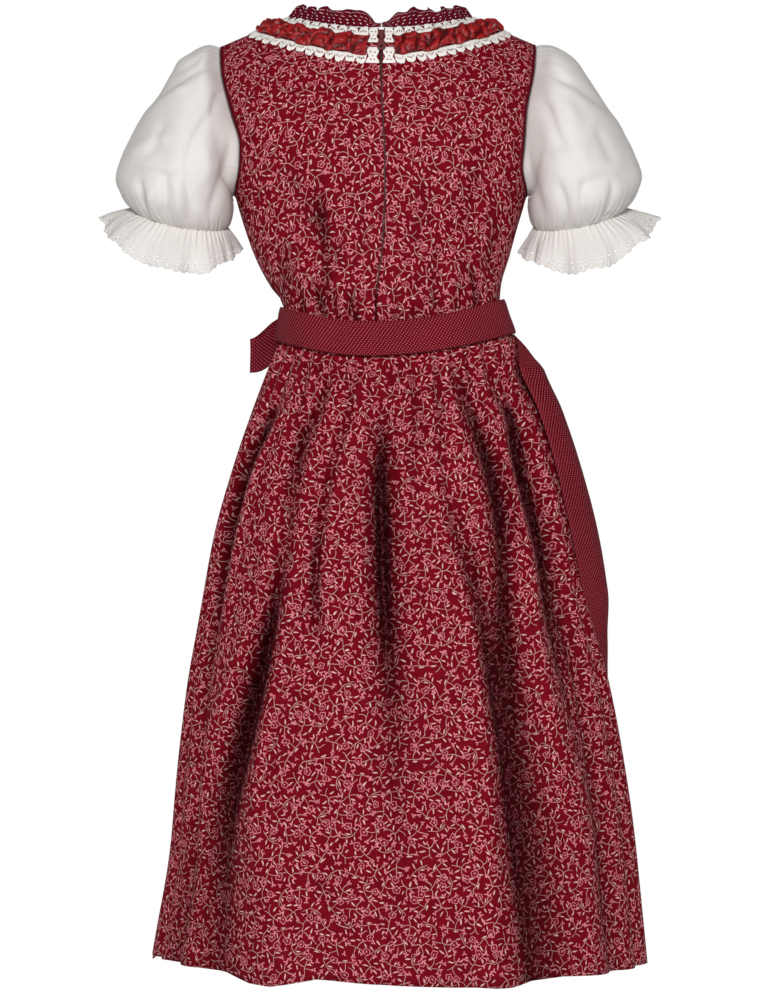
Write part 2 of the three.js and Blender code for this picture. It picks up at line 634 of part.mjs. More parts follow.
// The skirt's envelope at an angle and height, and the direction out of it
function skirtEnvelope(angle, z) {
  const cos = Math.cos(angle * RAD);
  const sin = Math.sin(angle * RAD);
  const side = sizeAt(SKIRT, z, cos > 0 ? "left" : "right");
  const depth = sizeAt(SKIRT, z, sin > 0 ? "back" : "front");
  const hang = waistLine(angle) * smooth(z, SKIRT_LEVEL, WAIST.seam);
  return {
    side,
    depth,
    point: vec(side * cos, depth * sin, z + hang),
    out: vec(cos / side, sin / depth, 0).normalize(),
  };
}

// How far the cloth is drawn in by its gathers and folds
function skirtFold(angle, z) {
  const { side, depth } = skirtEnvelope(angle, z);
  const cos = Math.cos(angle * RAD);
  const sin = Math.sin(angle * RAD);
  const face = sin >= 0 ? 1 : -1;
  const stretch = Math.hypot(side * sin, depth * cos);
  const gathered = smooth(z, -450, -320);
  let drawn = 2.6 * gathered * (0.5 - 0.5 * Math.cos(GATHERS * angle * RAD));
  for (const fold of FOLDS) {
    const part = clamp((z - fold.z0) / (fold.z1 - fold.z0), 0, 1);
    const foldAngle = Math.acos(clamp(lerp(fold.x0, fold.x1, part) / side, -1, 1));
    const ownAngle = Math.acos(clamp(cos, -1, 1));
    const aside = (ownAngle - foldAngle) * stretch;
    const starts = 1 - smooth(z, fold.z0 - 25, fold.z0 + 25);
    const fades = fold.z1 < HEM ? 1 : smooth(z, fold.z1 - 50, fold.z1 + 60);
    const trough = Math.exp(-((aside / fold.width) ** 2));
    if (face === fold.face) drawn += fold.depth * trough * starts * fades;
  }
  return drawn;
}

function skirtPoint(angle, z) {
  const { point, out } = skirtEnvelope(angle, z);
  const folded = point.addScaledVector(out, -skirtFold(angle, z));
  if (Math.abs(Math.sin(angle * RAD)) < 0.001) folded.y = 0;
  return folded;
}

const SKIRT_ROWS = [-930, -860, -785, -710, -635, -565, -505, -452, -410, -375, -346, -322, -306, -291];
function skirtPanel(name, face, columns, rows) {
  const grid = rows.map((z) =>
    Array.from({ length: columns + 1 }, (_, i) => {
      const point = skirtPoint((face > 0 ? 0 : 180) + (180 * i) / columns, z);
      if (Math.abs(point.y) < SEAM / 2) point.y = (face * SEAM) / 2;
      return point;
    }),
  );
  const settle = (behind, point, i, j) => {
    behind.y = face * Math.max(face * behind.y, SEAM / 2);
    if (i === 0 || i === columns) behind.y = point.y;
    if (j === rows.length - 1) behind.z = point.z;
  };
  for (const point of grid[rows.length - 1]) point.z -= SEAM;
  clothWall(name, "print", grid, { thick: WALL.skirt, settle });
}
skirtPanel("skirt_back", 1, 48, SKIRT_ROWS);
skirtPanel("skirt_front", -1, 32, SKIRT_ROWS.filter((z, k) => k % 2 === 0 || z > -400));

// Apron, its band and bow

const APRON_EDGE = { right: 184, rightLow: 206, left: 342, leftLow: 330 };
function apronPoint(part, z) {
  const low = smooth(z, APRON.hem, -560);
  const right = lerp(APRON_EDGE.rightLow, APRON_EDGE.right, low);
  const left = lerp(APRON_EDGE.leftLow, APRON_EDGE.left, low);
  const angle = lerp(right, left, part);
  const { point, out } = skirtEnvelope(angle, z);
  const gathered = lerp(0.35, 1, smooth(z, -420, -320)) * smooth(z, -300, -330);
  const wave = APRON.gather * gathered * (0.5 - 0.5 * Math.cos(2 * Math.PI * APRON.gathers * part));
  const broad = 5 * (1 - smooth(z, -700, -360)) * (0.5 - 0.5 * Math.cos(2 * Math.PI * 5 * part));
  const edge = sizeAt(APRON_STAND_OFF, z, "off") * (1 - smooth(part, 0, 0.22));
  return point.addScaledVector(out, APRON.lift + (1 - smooth(z, -330, -308)) * wave + broad + edge);
}
const APRON_ROWS = [APRON.hem, -800, -715, -630, -560, -500, -440, -390, -352, -326, APRON.top];
const apronColumns = 36;
const apronGrid = APRON_ROWS.map((z) =>
  Array.from({ length: apronColumns + 1 }, (_, i) => apronPoint(i / apronColumns, z)),
);
clothWall("apron_panel", "dots", apronGrid, {
  thick: WALL.apron,
  settle: (behind, point, i, j) => {
    if (j === APRON_ROWS.length - 1) behind.z = point.z;
  },
});

// The band is the apron's waistband and the tie that goes on round the back
const BAND = [
  { up: 0, left: 105.2, right: 136.4, depth: 82.4 },
  { up: 0.5, left: 102.6, right: 130.6, depth: 81.6 },
  { up: 1, left: 100.2, right: 124.8, depth: 81.6 },
];
const bandColumns = 48;
function bandPoint(angle, row) {
  const cos = Math.cos(angle * RAD);
  const side = cos > 0 ? row.left : row.right;
  const z = WAIST.bandTop - WAIST.bandHeight * (1 - row.up) + waistLine(angle);
  return vec(side * cos, row.depth * Math.sin(angle * RAD), z);
}
const bandGrid = BAND.map((row) =>
  Array.from({ length: bandColumns }, (_, i) => bandPoint((360 * i) / bandColumns, row)),
);
clothWall("apron_band", "dots", bandGrid, {
  thick: WALL.band,
  ring: true,
  settle: (behind, point) => {
    behind.z = point.z;
  },
});

// The bow is tied at the wearer's front left. Its frame: along the waist to the left, and outwards.
const bowCentre = bandPoint(BOW.angle, BAND[1]);
const bowSide = vec(
  -BAND[1].left * Math.sin(BOW.angle * RAD),
  BAND[1].depth * Math.cos(BOW.angle * RAD),
  0,
).normalize();
const bowOut = vec(bowSide.y, -bowSide.x, 0);
const KNOT = { side: 12, out: 8, up: 19 };
const knot = addMesh("bow_knot", new THREE.SphereGeometry(1, 14, 10), "dots");
knot.scale.set(KNOT.side, KNOT.out, KNOT.up);
knot.rotation.z = Math.atan2(bowSide.y, bowSide.x);
knot.position.copy(bowCentre).addScaledVector(bowOut, KNOT.out + SEAM + 0.2);

// A loop leaves the knot close to the body, turns back and returns on the outside
function bowLoop(name, direction, reach, droop, hug) {
  const steps = 14;
  const path = Array.from({ length: steps + 1 }, (_, k) => {
    const turn = (k / steps) * 2 * Math.PI;
    const along = KNOT.side + 0.5 + (reach - KNOT.side) * (0.5 - 0.5 * Math.cos(turn));
    const between = lerp(BOW.inner, BOW.outer, k / steps);
    const out = between - BOW.swell * Math.sin(turn) - (hug * along ** 2) / 190;
    return { along, out };
  });
  const grid = [0, 0.5, 1].map((up) =>
    path.map(({ along, out }) => {
      const fall = droop * smooth(along, KNOT.side, reach);
      const height = lerp(24, BOW.width, smooth(along, KNOT.side, KNOT.side + 30));
      return bowCentre
        .clone()
        .addScaledVector(bowSide, direction * along)
        .addScaledVector(bowOut, out)
        .add(vec(0, 0, height * (up - 0.5) - fall));
    }),
  );
  const ordered = direction > 0 ? grid : grid.map((row) => [...row].reverse());
  clothWall(name, "dots", ordered, { thick: 1.2 });
}
bowLoop("bow_loop_left", 1, BOW.reach, BOW.droop, 0.1);
bowLoop("bow_loop_front", -1, BOW.frontReach, 14, 0.75);

// The tails hang from under the knot, over the apron
function bowTail(name, lean, length) {
  const rows = 8;
  const top = bowCentre.z - KNOT.up + 1.1;
  const grid = Array.from({ length: rows + 1 }, (_, j) => {
    const down = 1 - j / rows;
    const z = top - length * down;
    const angle = BOW.angle + lean * (0.4 + 0.6 * smooth(down, 0, 0.35));
    const { side, depth } = skirtEnvelope(angle, z);
    const stretch = Math.hypot(side * Math.sin(angle * RAD), depth * Math.cos(angle * RAD));
    const width = lerp(15, BOW.width, smooth(down, 0, 0.35));
    return [-0.5, 0, 0.5].map((across) => {
      const own = skirtEnvelope(angle + (across * width) / stretch / RAD, z);
      return own.point.addScaledVector(own.out, BOW.tailClear).setZ(z);
    });
  });
  clothWall(name, "dots", grid, { thick: WALL.apron });
}
bowTail("bow_tail_left", 13, BOW.tail);
bowTail("bow_tail_front", -13, BOW.tail - 18);

export default dirndl;
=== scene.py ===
# %% [markdown]
# # A girl's dirndl, seen from behind
# The real garment is a cotton dress with a zipped bodice, a gathered skirt and white puff sleeves,
# an apron whose tie goes round the waist, and lace, satin and a frill round the neck.
# The frame holds its solids. Here each gets its look: finer cloth with folds, print and trims.
# Everything is worked out in millimetres and goes into Blender in metres.

import bpy
import numpy as np
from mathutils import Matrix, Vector


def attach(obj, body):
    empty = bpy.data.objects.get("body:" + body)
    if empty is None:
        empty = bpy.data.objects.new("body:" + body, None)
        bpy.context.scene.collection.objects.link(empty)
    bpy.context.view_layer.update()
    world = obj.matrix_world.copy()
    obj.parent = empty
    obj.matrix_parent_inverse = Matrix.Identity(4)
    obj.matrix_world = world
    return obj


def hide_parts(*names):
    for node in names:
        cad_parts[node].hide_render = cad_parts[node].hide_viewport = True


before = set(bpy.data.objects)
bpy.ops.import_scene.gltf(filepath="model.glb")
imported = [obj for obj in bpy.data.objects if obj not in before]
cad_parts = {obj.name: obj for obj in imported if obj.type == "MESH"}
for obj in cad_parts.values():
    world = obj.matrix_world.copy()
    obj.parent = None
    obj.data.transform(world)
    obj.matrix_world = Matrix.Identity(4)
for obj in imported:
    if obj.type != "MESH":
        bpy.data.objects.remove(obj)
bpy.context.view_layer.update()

# %% [markdown]
# ## The pattern maker's tables
# A dress is cut from a few body measurements at different heights. These tables hold the same ones
# as the solids, so that the fine cloth lies on them. A curve through the rows gives every height
# between. A mesh could be sculpted instead, but measurements are easier to change.

# %% Measurements of the torso, the skirt and the sleeves
NECK = {"side": 93, "top": 12, "back_dip": 18, "front_dip": 87}
SHOULDER_SLOPE = 0.4375
UNDERARM = -168
WAIST_SEAM = -290
SEAM = 0.3

# height, then half widths to the wearer's left and right, then depths of the back and the front
TORSO = np.array([
    (30, 175, 173, 86, 88),
    (-16, 172, 170, 88, 90),
    (-60, 168, 166, 88, 92),
    (-110, 158, 158, 88, 93),
    (-168, 144.2, 146, 87, 92),
    (-199, 135, 137, 86, 88),
    (-225, 126, 130, 84.5, 84),
    (-256, 110, 121, 81.5, 79),
    (-276, 96.5, 119.5, 78, 75.2),
    (-315, 96, 119.5, 76.3, 75),
])
SKIRT = np.array([
    (-291, 96, 119.5, 76, 76),
    (-303, 100, 130, 77.3, 77),
    (-318, 105.5, 137, 84, 83),
    (-341, 115, 140.5, 92, 91),
    (-383, 130, 159, 104, 103),
    (-433, 145, 175, 116, 115),
    (-505, 165, 192, 131, 130),
    (-589, 181, 210, 146, 145),
    (-660, 193, 230.5, 157, 156),
    (-766, 203.5, 249, 170, 168),
    (-850, 213, 257.5, 178, 176),
    (-930, 226, 266.5, 185, 183),
])
# height, then the armhole edge's distance from the middle on the left and the right
ARMHOLE = np.array([
    (-14, 157, 153),
    (-42, 155, 150.5),
    (-85, 145, 142.5),
    (-119, 136, 140.5),
    (-140, 137, 139),
    (-168, 144.2, 146),
])
# height, then where the two back edges meet and the gap between them
CENTRE_BACK = np.array([
    (-6, -1.5, 5),
    (-41, -1, 3),
    (-73, -2, 1.8),
    (-150, -5, 1.6),
    (-217, -3, 1.6),
    (-275, 3.8, 1.6),
    (-315, 4, 1.6),
])


def size_at(table, z, column):
    """One column at height z: a cubic curve through the rows whose slope at each row is the harmonic
    mean of the slopes beside it, or level where they differ in sign."""
    heights, values = table[:, 0], table[:, column]
    z = np.clip(z, heights[-1], heights[0])
    i = np.clip(np.searchsorted(-heights, -z, side="right") - 1, 0, len(heights) - 2)
    slope = np.diff(values) / np.diff(heights)
    before, after = slope[:-1], slope[1:]
    total = np.where(before * after > 0, before + after, 1)
    middle = np.where(before * after > 0, 2 * before * after / total, 0)
    tangent = np.concatenate([slope[:1], middle, slope[-1:]])
    step = heights[i + 1] - heights[i]
    t = (z - heights[i]) / step
    level = (2 * t**3 - 3 * t**2 + 1) * values[i] + (3 * t**2 - 2 * t**3) * values[i + 1]
    return level + step * ((t**3 - 2 * t**2 + t) * tangent[i] + (t**3 - t**2) * tangent[i + 1])


def mix(a, b, part):
    return a + (b - a) * part


def fade(x, start, end):
    """0 before start and 1 after end, with a soft step between."""
    t = np.clip((x - start) / (end - start), 0, 1)
    return t * t * (3 - 2 * t)


def turned(degrees):
    return np.cos(np.radians(degrees)), np.sin(np.radians(degrees))


print("back depth at the waist:", size_at(TORSO, np.array([float(WAIST_SEAM)]), 3))

# %% [markdown]
# ## Folding cloth
# Folds in worn cloth are soft troughs and ridges, uneven in length, depth and spacing. Blender's
# cloth simulation could drape them, but here each fold has to lie where the photograph has it.
# So a table gives each one's two ends, and the cloth is pushed in along a soft bell curve.


# %% Troughs and ridges from a table
def creases(x, z, table):
    """How far the cloth goes in at each point. A row gives the height and sideways place of a fold's
    two ends, its depth, its half width and its lean, which makes one flank the steeper."""
    total = np.zeros_like(x)
    for z0, x0, z1, x1, depth, width, lean in table:
        along = np.array([x1 - x0, z1 - z0], float)
        length = np.hypot(*along)
        along /= length
        part = (x - x0) * along[0] + (z - z0) * along[1]
        aside = ((z - z0) * along[0] - (x - x0) * along[1]) / width
        bend = aside + 0.35 * np.sin(part / length * 5 + x0)
        ends = fade(part, -0.12 * length, 0.25 * length) * (1 - fade(part, 0.7 * length, 1.15 * length))
        total += depth * np.exp(-(bend**2)) * (1 + lean * np.tanh(bend)) * ends
    return total


def outward(points, ring=False):
    """Unit normals of a grid: the cross product of its steps along a row and up a column."""
    along = np.gradient(points, axis=1)
    if ring:
        along = (np.roll(points, -1, axis=1) - np.roll(points, 1, axis=1)) / 2
    normal = np.cross(along, np.gradient(points, axis=0))
    return normal / np.maximum(np.linalg.norm(normal, axis=-1, keepdims=True), 1e-9)


def cloth_lengths(points, ring=False):
    """The cloth's own coordinates in metres: the length along each row from its middle, and the
    length up each column. A print that reads them keeps its scale and follows the folds."""
    closed = np.concatenate([points, points[:, :1]], axis=1) if ring else points
    across = np.linalg.norm(np.diff(closed, axis=1), axis=-1)
    across = np.pad(np.cumsum(across, axis=1), ((0, 0), (1, 0)))
    up = np.linalg.norm(np.diff(closed, axis=0), axis=-1)
    up = np.pad(np.cumsum(up, axis=0), ((1, 0), (0, 0)))
    middle = closed.shape[1] // 2
    across -= across[:, middle : middle + 1]
    return np.stack([across, mix(up, up[:, middle : middle + 1], 0.7)], axis=-1) / 1000


def sew(name, points, cloth, nodes=(), thick=1.0, ring=False, lengths=None, cut=None, depth=None):
    """Puts a grid in as a mesh. Rows run upwards and columns anticlockwise, seen from outside. Faces
    marked in cut are left out. Solidify adds the cloth's thickness on the inside. Depth, 0 to 1, says
    how far inside a fold each point lies; it is stored for the painted shade in folds."""
    rows, columns = points.shape[:2]
    spans = columns if ring else columns - 1
    j, i = np.meshgrid(np.arange(rows - 1), np.arange(spans), indexing="ij")
    right = (i + 1) % columns
    low, high = j * columns, (j + 1) * columns
    faces = np.stack([low + i, low + right, high + right, high + i], axis=-1)
    own = cloth_lengths(points, ring) if lengths is None else lengths
    corners = np.stack([own[j, i], own[j, i + 1], own[j + 1, i + 1], own[j + 1, i]], axis=-2)
    if cut is not None:
        faces, corners = faces[~cut], corners[~cut]
    faces, corners = faces.reshape(-1, 4), corners.reshape(-1, 2)
    used, faces = np.unique(faces, return_inverse=True)
    mesh = bpy.data.meshes.new(name)
    mesh.vertices.add(len(used))
    mesh.vertices.foreach_set("co", (points.reshape(-1, 3)[used] / 1000).astype(np.float32).ravel())
    mesh.loops.add(faces.size)
    mesh.loops.foreach_set("vertex_index", faces.ravel().astype(np.int32))
    mesh.polygons.add(faces.size // 4)
    mesh.polygons.foreach_set("loop_start", np.arange(0, faces.size, 4, dtype=np.int32))
    mesh.update(calc_edges=True)
    mesh.uv_layers.new(name="cloth").data.foreach_set("uv", corners.astype(np.float32).ravel())
    # the fold depth is stored for the painted shade that darkens the cloth's colour in folds
    if depth is not None:
        sunk = mesh.attributes.new("fold_shade_depth", "FLOAT", "POINT")
        sunk.data.foreach_set("value", np.clip(depth, 0, 1).ravel()[used].astype(np.float32))
    mesh.shade_smooth()
    mesh.materials.append(cloth)
    piece = bpy.data.objects.new(name, mesh)
    bpy.context.scene.collection.objects.link(piece)
    if thick:
        wall = piece.modifiers.new("thickness", "SOLIDIFY")
        wall.thickness = thick / 1000
        wall.offset = -1
    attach(piece, "dress")
    if nodes:
        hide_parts(*nodes)
    area = sum(p.area for p in mesh.polygons)
    print(f"{name}: {len(mesh.polygons)} faces, {area:.4f} square metres")
    return piece


# %% [markdown]
# ## Printed cotton
# The dress is burgundy cotton printed with small trailing sprigs. An image could carry the print,
# but here it is charted: four sprigs, each a short list of stems, leaves, buds and flowers, repeat
# over the cloth. Each place turns and mirrors its sprig by its own number, so that no rows show.
# All distances are in millimetres of cloth, read from the lengths stored with each piece.


# %% Small helpers for nodes
def wire(tree, kind, *values, **settings):
    """A node with its settings, whose inputs take the given sockets or numbers in order."""
    made = tree.nodes.new(kind)
    for key, value in settings.items():
        setattr(made, key, value)
    for place, value in zip(made.inputs, values):
        if isinstance(value, bpy.types.NodeSocket):
            tree.links.new(value, place)
        elif value is not None:
            place.default_value = value
    return made


def calc(tree, operation, *values):
    return wire(tree, "ShaderNodeMath", *values, operation=operation).outputs[0]


def calc3(tree, operation, *values):
    made = wire(tree, "ShaderNodeVectorMath", *values, operation=operation)
    return made.outputs["Value"] if operation in ("LENGTH", "DISTANCE") else made.outputs["Vector"]


def ramp(tree, value, low, high, to_low=0.0, to_high=1.0):
    return wire(tree, "ShaderNodeMapRange", value, low, high, to_low, to_high).outputs[0]


def blend(tree, part, first, second):
    """Mixes two colours, each a socket or three numbers."""
    made = tree.nodes.new("ShaderNodeMix")
    made.data_type = "RGBA"
    tree.links.new(part, made.inputs["Factor"])
    for place, value in zip([s for s in made.inputs if s.type == "RGBA"], (first, second)):
        if isinstance(value, bpy.types.NodeSocket):
            tree.links.new(value, place)
        else:
            place.default_value = (*value, 1)
    return next(s for s in made.outputs if s.type == "RGBA")


SOCKETS = {"sheen": "Sheen Weight", "specular": "Specular IOR Level", "coat": "Coat Weight"}


def look(name, color, roughness, **sockets):
    """A material with a Principled shader. Numbers go directly on its sockets."""
    material = bpy.data.materials.new(name)
    material.use_nodes = True
    shader = material.node_tree.nodes["Principled BSDF"]
    shader.inputs["Base Color"].default_value = (*color, 1)
    shader.inputs["Roughness"].default_value = roughness
    for key, value in sockets.items():
        shader.inputs[SOCKETS[key]].default_value = value
    return material, material.node_tree, shader


def spot_on_cloth(tree):
    """Millimetres along and up the cloth."""
    lengths = wire(tree, "ShaderNodeUVMap", uv_map="cloth").outputs[0]
    return calc3(tree, "MULTIPLY", lengths, (1000, 1000, 0))


def painted_fold_shade(tree, colour, shade_tint):
    """Painted shade in folds: inside a fold light reaches the cloth only off other cloth, so its colour is
    darkened there. The depth is stored with each point; the colour is mixed with itself times a shade tint
    by that depth."""
    sunk = tree.nodes.new("ShaderNodeAttribute")
    sunk.attribute_name = "fold_shade_depth"
    darker = calc3(tree, "MULTIPLY", colour, shade_tint)
    return blend(tree, sunk.outputs["Fac"], colour, darker)


THREADS = 9.4  # radians of the weave's wave in a millimetre


def cotton_feel(tree, shader, weave=0.5, crumple=0.6):
    """Bump: threads that cross about three times in 2 mm, and soft crumples 2 cm apart."""
    spot = spot_on_cloth(tree)
    parts = wire(tree, "ShaderNodeSeparateXYZ", spot)
    warp = calc(tree, "SINE", calc(tree, "MULTIPLY", parts.outputs[0], THREADS))
    weft = calc(tree, "SINE", calc(tree, "MULTIPLY", parts.outputs[1], THREADS))
    threads = calc(tree, "MULTIPLY", calc(tree, "MULTIPLY", warp, weft), 0.03 * weave)
    soft = wire(tree, "ShaderNodeTexNoise", calc3(tree, "SCALE", spot, None, None, 0.045), None, 1.0, 3.0)
    height = calc(tree, "MULTIPLY_ADD", soft.outputs[0], crumple, threads)
    bump = tree.nodes.new("ShaderNodeBump")
    bump.inputs["Strength"].default_value = 0.7
    bump.inputs["Distance"].default_value = 0.001
    tree.links.new(height, bump.inputs["Height"])
    tree.links.new(bump.outputs["Normal"], shader.inputs["Normal"])


# %% Chart of the print
TILE = (42.8, 49.4)
# where the sprig's first repeat stands on the cloth, and then its parts: kind, place across and up
# from the sprig's middle, turn in degrees, length, width or bend
SPRIGS = {
    (0, 0): [
        ("stem", -2.5, 0.5, 120, 7.5, 0.03),
        ("stem", 4, -2, 25, 6, -0.035),
        ("stem", -4.6, -5.6, 200, 4.2, 0.05),
        ("stem", 1.8, 5.2, 65, 3.6, 0.05),
        ("flower", -7.4, 8, 0, 3.9, 0),
        ("bud", 10.4, 1.4, -60, 2.7, 0),
        ("bud", 9, -4.4, -110, 2.4, 0),
        ("bud", 3.8, 9.2, 10, 2.6, 0),
        ("bud", -9.6, -6.6, 120, 2.5, 0),
        ("leaf", -8.6, 1.6, 80, 2.8, 0.7),
        ("leaf", 5.6, 3.6, 100, 2.6, 0.65),
        ("leaf", -0.8, -6.8, 10, 2.8, 0.7),
    ],
    (21.4, 12.35): [
        ("stem", 0.4, -3.6, 86, 7.6, 0.025),
        ("stem", -4.2, 3.6, 142, 5.6, -0.04),
        ("stem", 4.8, 2.8, 38, 5.4, 0.045),
        ("stem", 4.4, -7.4, -22, 4.6, 0.05),
        ("bud", -9.4, 8.2, 50, 2.7, 0),
        ("bud", 9.6, 7, -50, 2.7, 0),
        ("bud", 0.6, 6.6, 5, 2.5, 0),
        ("bud", -8.4, -7.8, 110, 2.4, 0),
        ("leaf", -5, -1.4, 35, 2.8, 0.7),
        ("leaf", 3.8, 8.4, 80, 2.5, 0.65),
        ("leaf", 8, -1, 15, 2.7, 0.7),
        ("leaf", -10.6, 1.6, 80, 2.6, 0.65),
    ],
    (0, 24.7): [
        ("stem", -0.6, -0.4, 40, 10.5, 0.022),
        ("stem", -5.2, 2.4, 118, 5, -0.05),
        ("stem", 4.4, -3.6, -20, 5, 0.05),
        ("flower", 8.6, 7.8, 40, 3.9, 0),
        ("bud", -8.2, 7.8, 40, 2.6, 0),
        ("bud", 9.8, -5.6, -90, 2.5, 0),
        ("bud", -9, -7.4, 150, 2.5, 0),
        ("bud", 1.4, 8.6, 20, 2.4, 0),
        ("leaf", -0.4, 5, 120, 2.7, 0.7),
        ("leaf", 4.2, -8, 15, 2.6, 0.65),
        ("leaf", 9.6, 0.6, 80, 2.6, 0.65),
        ("leaf", -3.4, -8.4, 10, 2.7, 0.7),
    ],
    (21.4, 37.05): [
        ("stem", 0, -0.6, -6, 11.5, 0.03),
        ("stem", 2.4, 5.4, 76, 4.8, 0.05),
        ("stem", -6.4, 4.4, 118, 4.2, -0.05),
        ("flower", 3, 10.2, 10, 3.6, 0),
        ("bud", -9.4, 9, 20, 2.6, 0),
        ("bud", 11, 6.6, -30, 2.5, 0),
        ("bud", -4.6, -7.6, 180, 2.5, 0),
        ("bud", 8, -7.8, 150, 2.4, 0),
        ("leaf", -8.4, -2.6, 60, 2.7, 0.7),
        ("leaf", -2.8, 3.6, 130, 2.6, 0.65),
        ("leaf", 1, -5, 70, 2.6, 0.65),
        ("leaf", 7.4, 3, 110, 2.6, 0.65),
    ],
}


def leaf(tree, spot, length, width):
    """Distance outside an ellipse: its scaled radius less 1, times its half width."""
    radius = calc3(tree, "LENGTH", calc3(tree, "DIVIDE", spot, (length, width, 1)))
    return calc(tree, "MULTIPLY_ADD", radius, width, -width)


def stem(tree, spot, length, bend):
    """Distance outside a thin stroke along a parabola."""
    parts = wire(tree, "ShaderNodeSeparateXYZ", spot)
    x, y = parts.outputs[0], parts.outputs[1]
    curve = calc(tree, "MULTIPLY_ADD", calc(tree, "MULTIPLY", x, x), -bend, y)
    beside = calc(tree, "SUBTRACT", calc(tree, "ABSOLUTE", curve), 0.22)
    beyond = calc(tree, "SUBTRACT", calc(tree, "ABSOLUTE", x), length)
    return calc(tree, "MAXIMUM", beside, beyond)


def petals(tree, spot, radius, count, depth):
    """Distance outside a rosette whose radius swings count times round the middle."""
    parts = wire(tree, "ShaderNodeSeparateXYZ", spot)
    angle = calc(tree, "ARCTAN2", parts.outputs[1], parts.outputs[0])
    swing = calc(tree, "COSINE", calc(tree, "MULTIPLY", angle, float(count)))
    edge = calc(tree, "MULTIPLY_ADD", swing, depth, radius)
    return calc(tree, "SUBTRACT", calc3(tree, "LENGTH", spot), edge)


def sprig_places(tree, spot, tile, start):
    """Each repeat's own coordinates, turned and mirrored by its own number."""
    shifted = calc3(tree, "SUBTRACT", spot, (*start, 0))
    counted = calc3(tree, "MULTIPLY_ADD", shifted, (1 / tile[0], 1 / tile[1], 0), (0.5, 0.5, 0))
    cell = calc3(tree, "FLOOR", counted)
    inside = calc3(tree, "SUBTRACT", shifted, calc3(tree, "MULTIPLY", cell, (*tile, 0)))
    own = wire(tree, "ShaderNodeTexWhiteNoise", cell)
    chance = wire(tree, "ShaderNodeSeparateXYZ", own.outputs["Color"])
    side = calc(tree, "SIGN", calc(tree, "SUBTRACT", chance.outputs[0], 0.5))
    flip = wire(tree, "ShaderNodeCombineXYZ", side, 1.0, 1.0)
    turn = calc(tree, "MULTIPLY", chance.outputs[1], 2 * np.pi)
    moved = calc3(tree, "MULTIPLY_ADD", own.outputs["Color"], (2.0, 2.0, 0), (-1.0, -1.0, 0))
    mirrored = calc3(tree, "MULTIPLY", calc3(tree, "ADD", inside, moved), flip.outputs[0])
    made = wire(tree, "ShaderNodeVectorRotate", mirrored, rotation_type="Z_AXIS")
    tree.links.new(turn, made.inputs["Angle"])
    return made.outputs[0]


def sprigs(tree, spot):
    """Distances outside all stems and leaves, and outside all buds and flowers."""
    pale, pink = [], []
    for start, parts in SPRIGS.items():
        place = sprig_places(tree, spot, TILE, start)
        for kind, x, y, turn, length, width in parts:
            own = wire(tree, "ShaderNodeMapping", place, vector_type="TEXTURE")
            own.inputs["Location"].default_value = (x, y, 0)
            own.inputs["Rotation"].default_value = (0, 0, np.radians(turn))
            at = own.outputs[0]
            if kind == "leaf":
                pale.append(leaf(tree, at, length, 1.05 * width))
            elif kind == "stem":
                pale.append(stem(tree, at, length, width))
            elif kind == "bud":
                pink.append(petals(tree, at, length * 0.60, 3, length * 0.5))
            else:
                rim = petals(tree, at, length, 5, 0.45)
                ring = calc(tree, "SUBTRACT", calc(tree, "ABSOLUTE", rim), 0.4)
                heart = petals(tree, at, 1.0, 5, 0.5)
                pink.append(calc(tree, "MINIMUM", ring, heart))
    for group in (pale, pink):
        while len(group) > 1:
            group.append(calc(tree, "MINIMUM", group.pop(0), group.pop(0)))
    return pale[0], pink[0]


# %% Printed cotton
BURGUNDY = (0.195, 0.003, 0.013)
DYE_DEEP, DYE_BRIGHT = (0.112, 0.0013, 0.0060), (0.148, 0.0019, 0.0082)
LEAVES, PETALS = (0.60, 0.355, 0.335), (0.54, 0.170, 0.205)


def printed_cotton():
    """Ground, then stems and leaves, then buds and flowers, each a soft-edged mask. The place on the
    cloth wanders a little first, so that no sprig is drawn twice alike. Last comes painted shade in folds."""
    material, tree, shader = look("vine_print_cotton", BURGUNDY, 0.85, specular=0.05)
    spot = spot_on_cloth(tree)
    wander = wire(tree, "ShaderNodeTexNoise", calc3(tree, "MULTIPLY", spot, (0.09, 0.09, 0)), None, 1.0, 1.0)
    centred = calc3(tree, "SUBTRACT", wander.outputs["Color"], (0.5, 0.5, 0.5))
    sway = calc3(tree, "MULTIPLY", centred, (5, 5, 0))
    slanted = wire(tree, "ShaderNodeMapping", calc3(tree, "ADD", spot, sway))
    slanted.inputs["Rotation"].default_value = (0, 0, np.radians(27))
    slanted.inputs["Scale"].default_value = (1.2, 1.2, 1)
    pale, pink = sprigs(tree, slanted.outputs[0])
    dye = ramp(tree, wander.outputs[0], 0.3, 0.7)
    ground = blend(tree, dye, DYE_DEEP, DYE_BRIGHT)
    leaves = blend(tree, ramp(tree, pale, 0.24, -0.24), ground, LEAVES)
    colour = blend(tree, ramp(tree, pink, 0.22, -0.22), leaves, PETALS)
    # painted shade: the printed colour is darkened inside folds by their stored depth
    tree.links.new(painted_fold_shade(tree, colour, (0.20, 0.13, 0.14)), shader.inputs["Base Color"])
    cotton_feel(tree, shader)
    print("printed cotton:", len(tree.nodes), "nodes")
    return material


vine_print = printed_cotton()
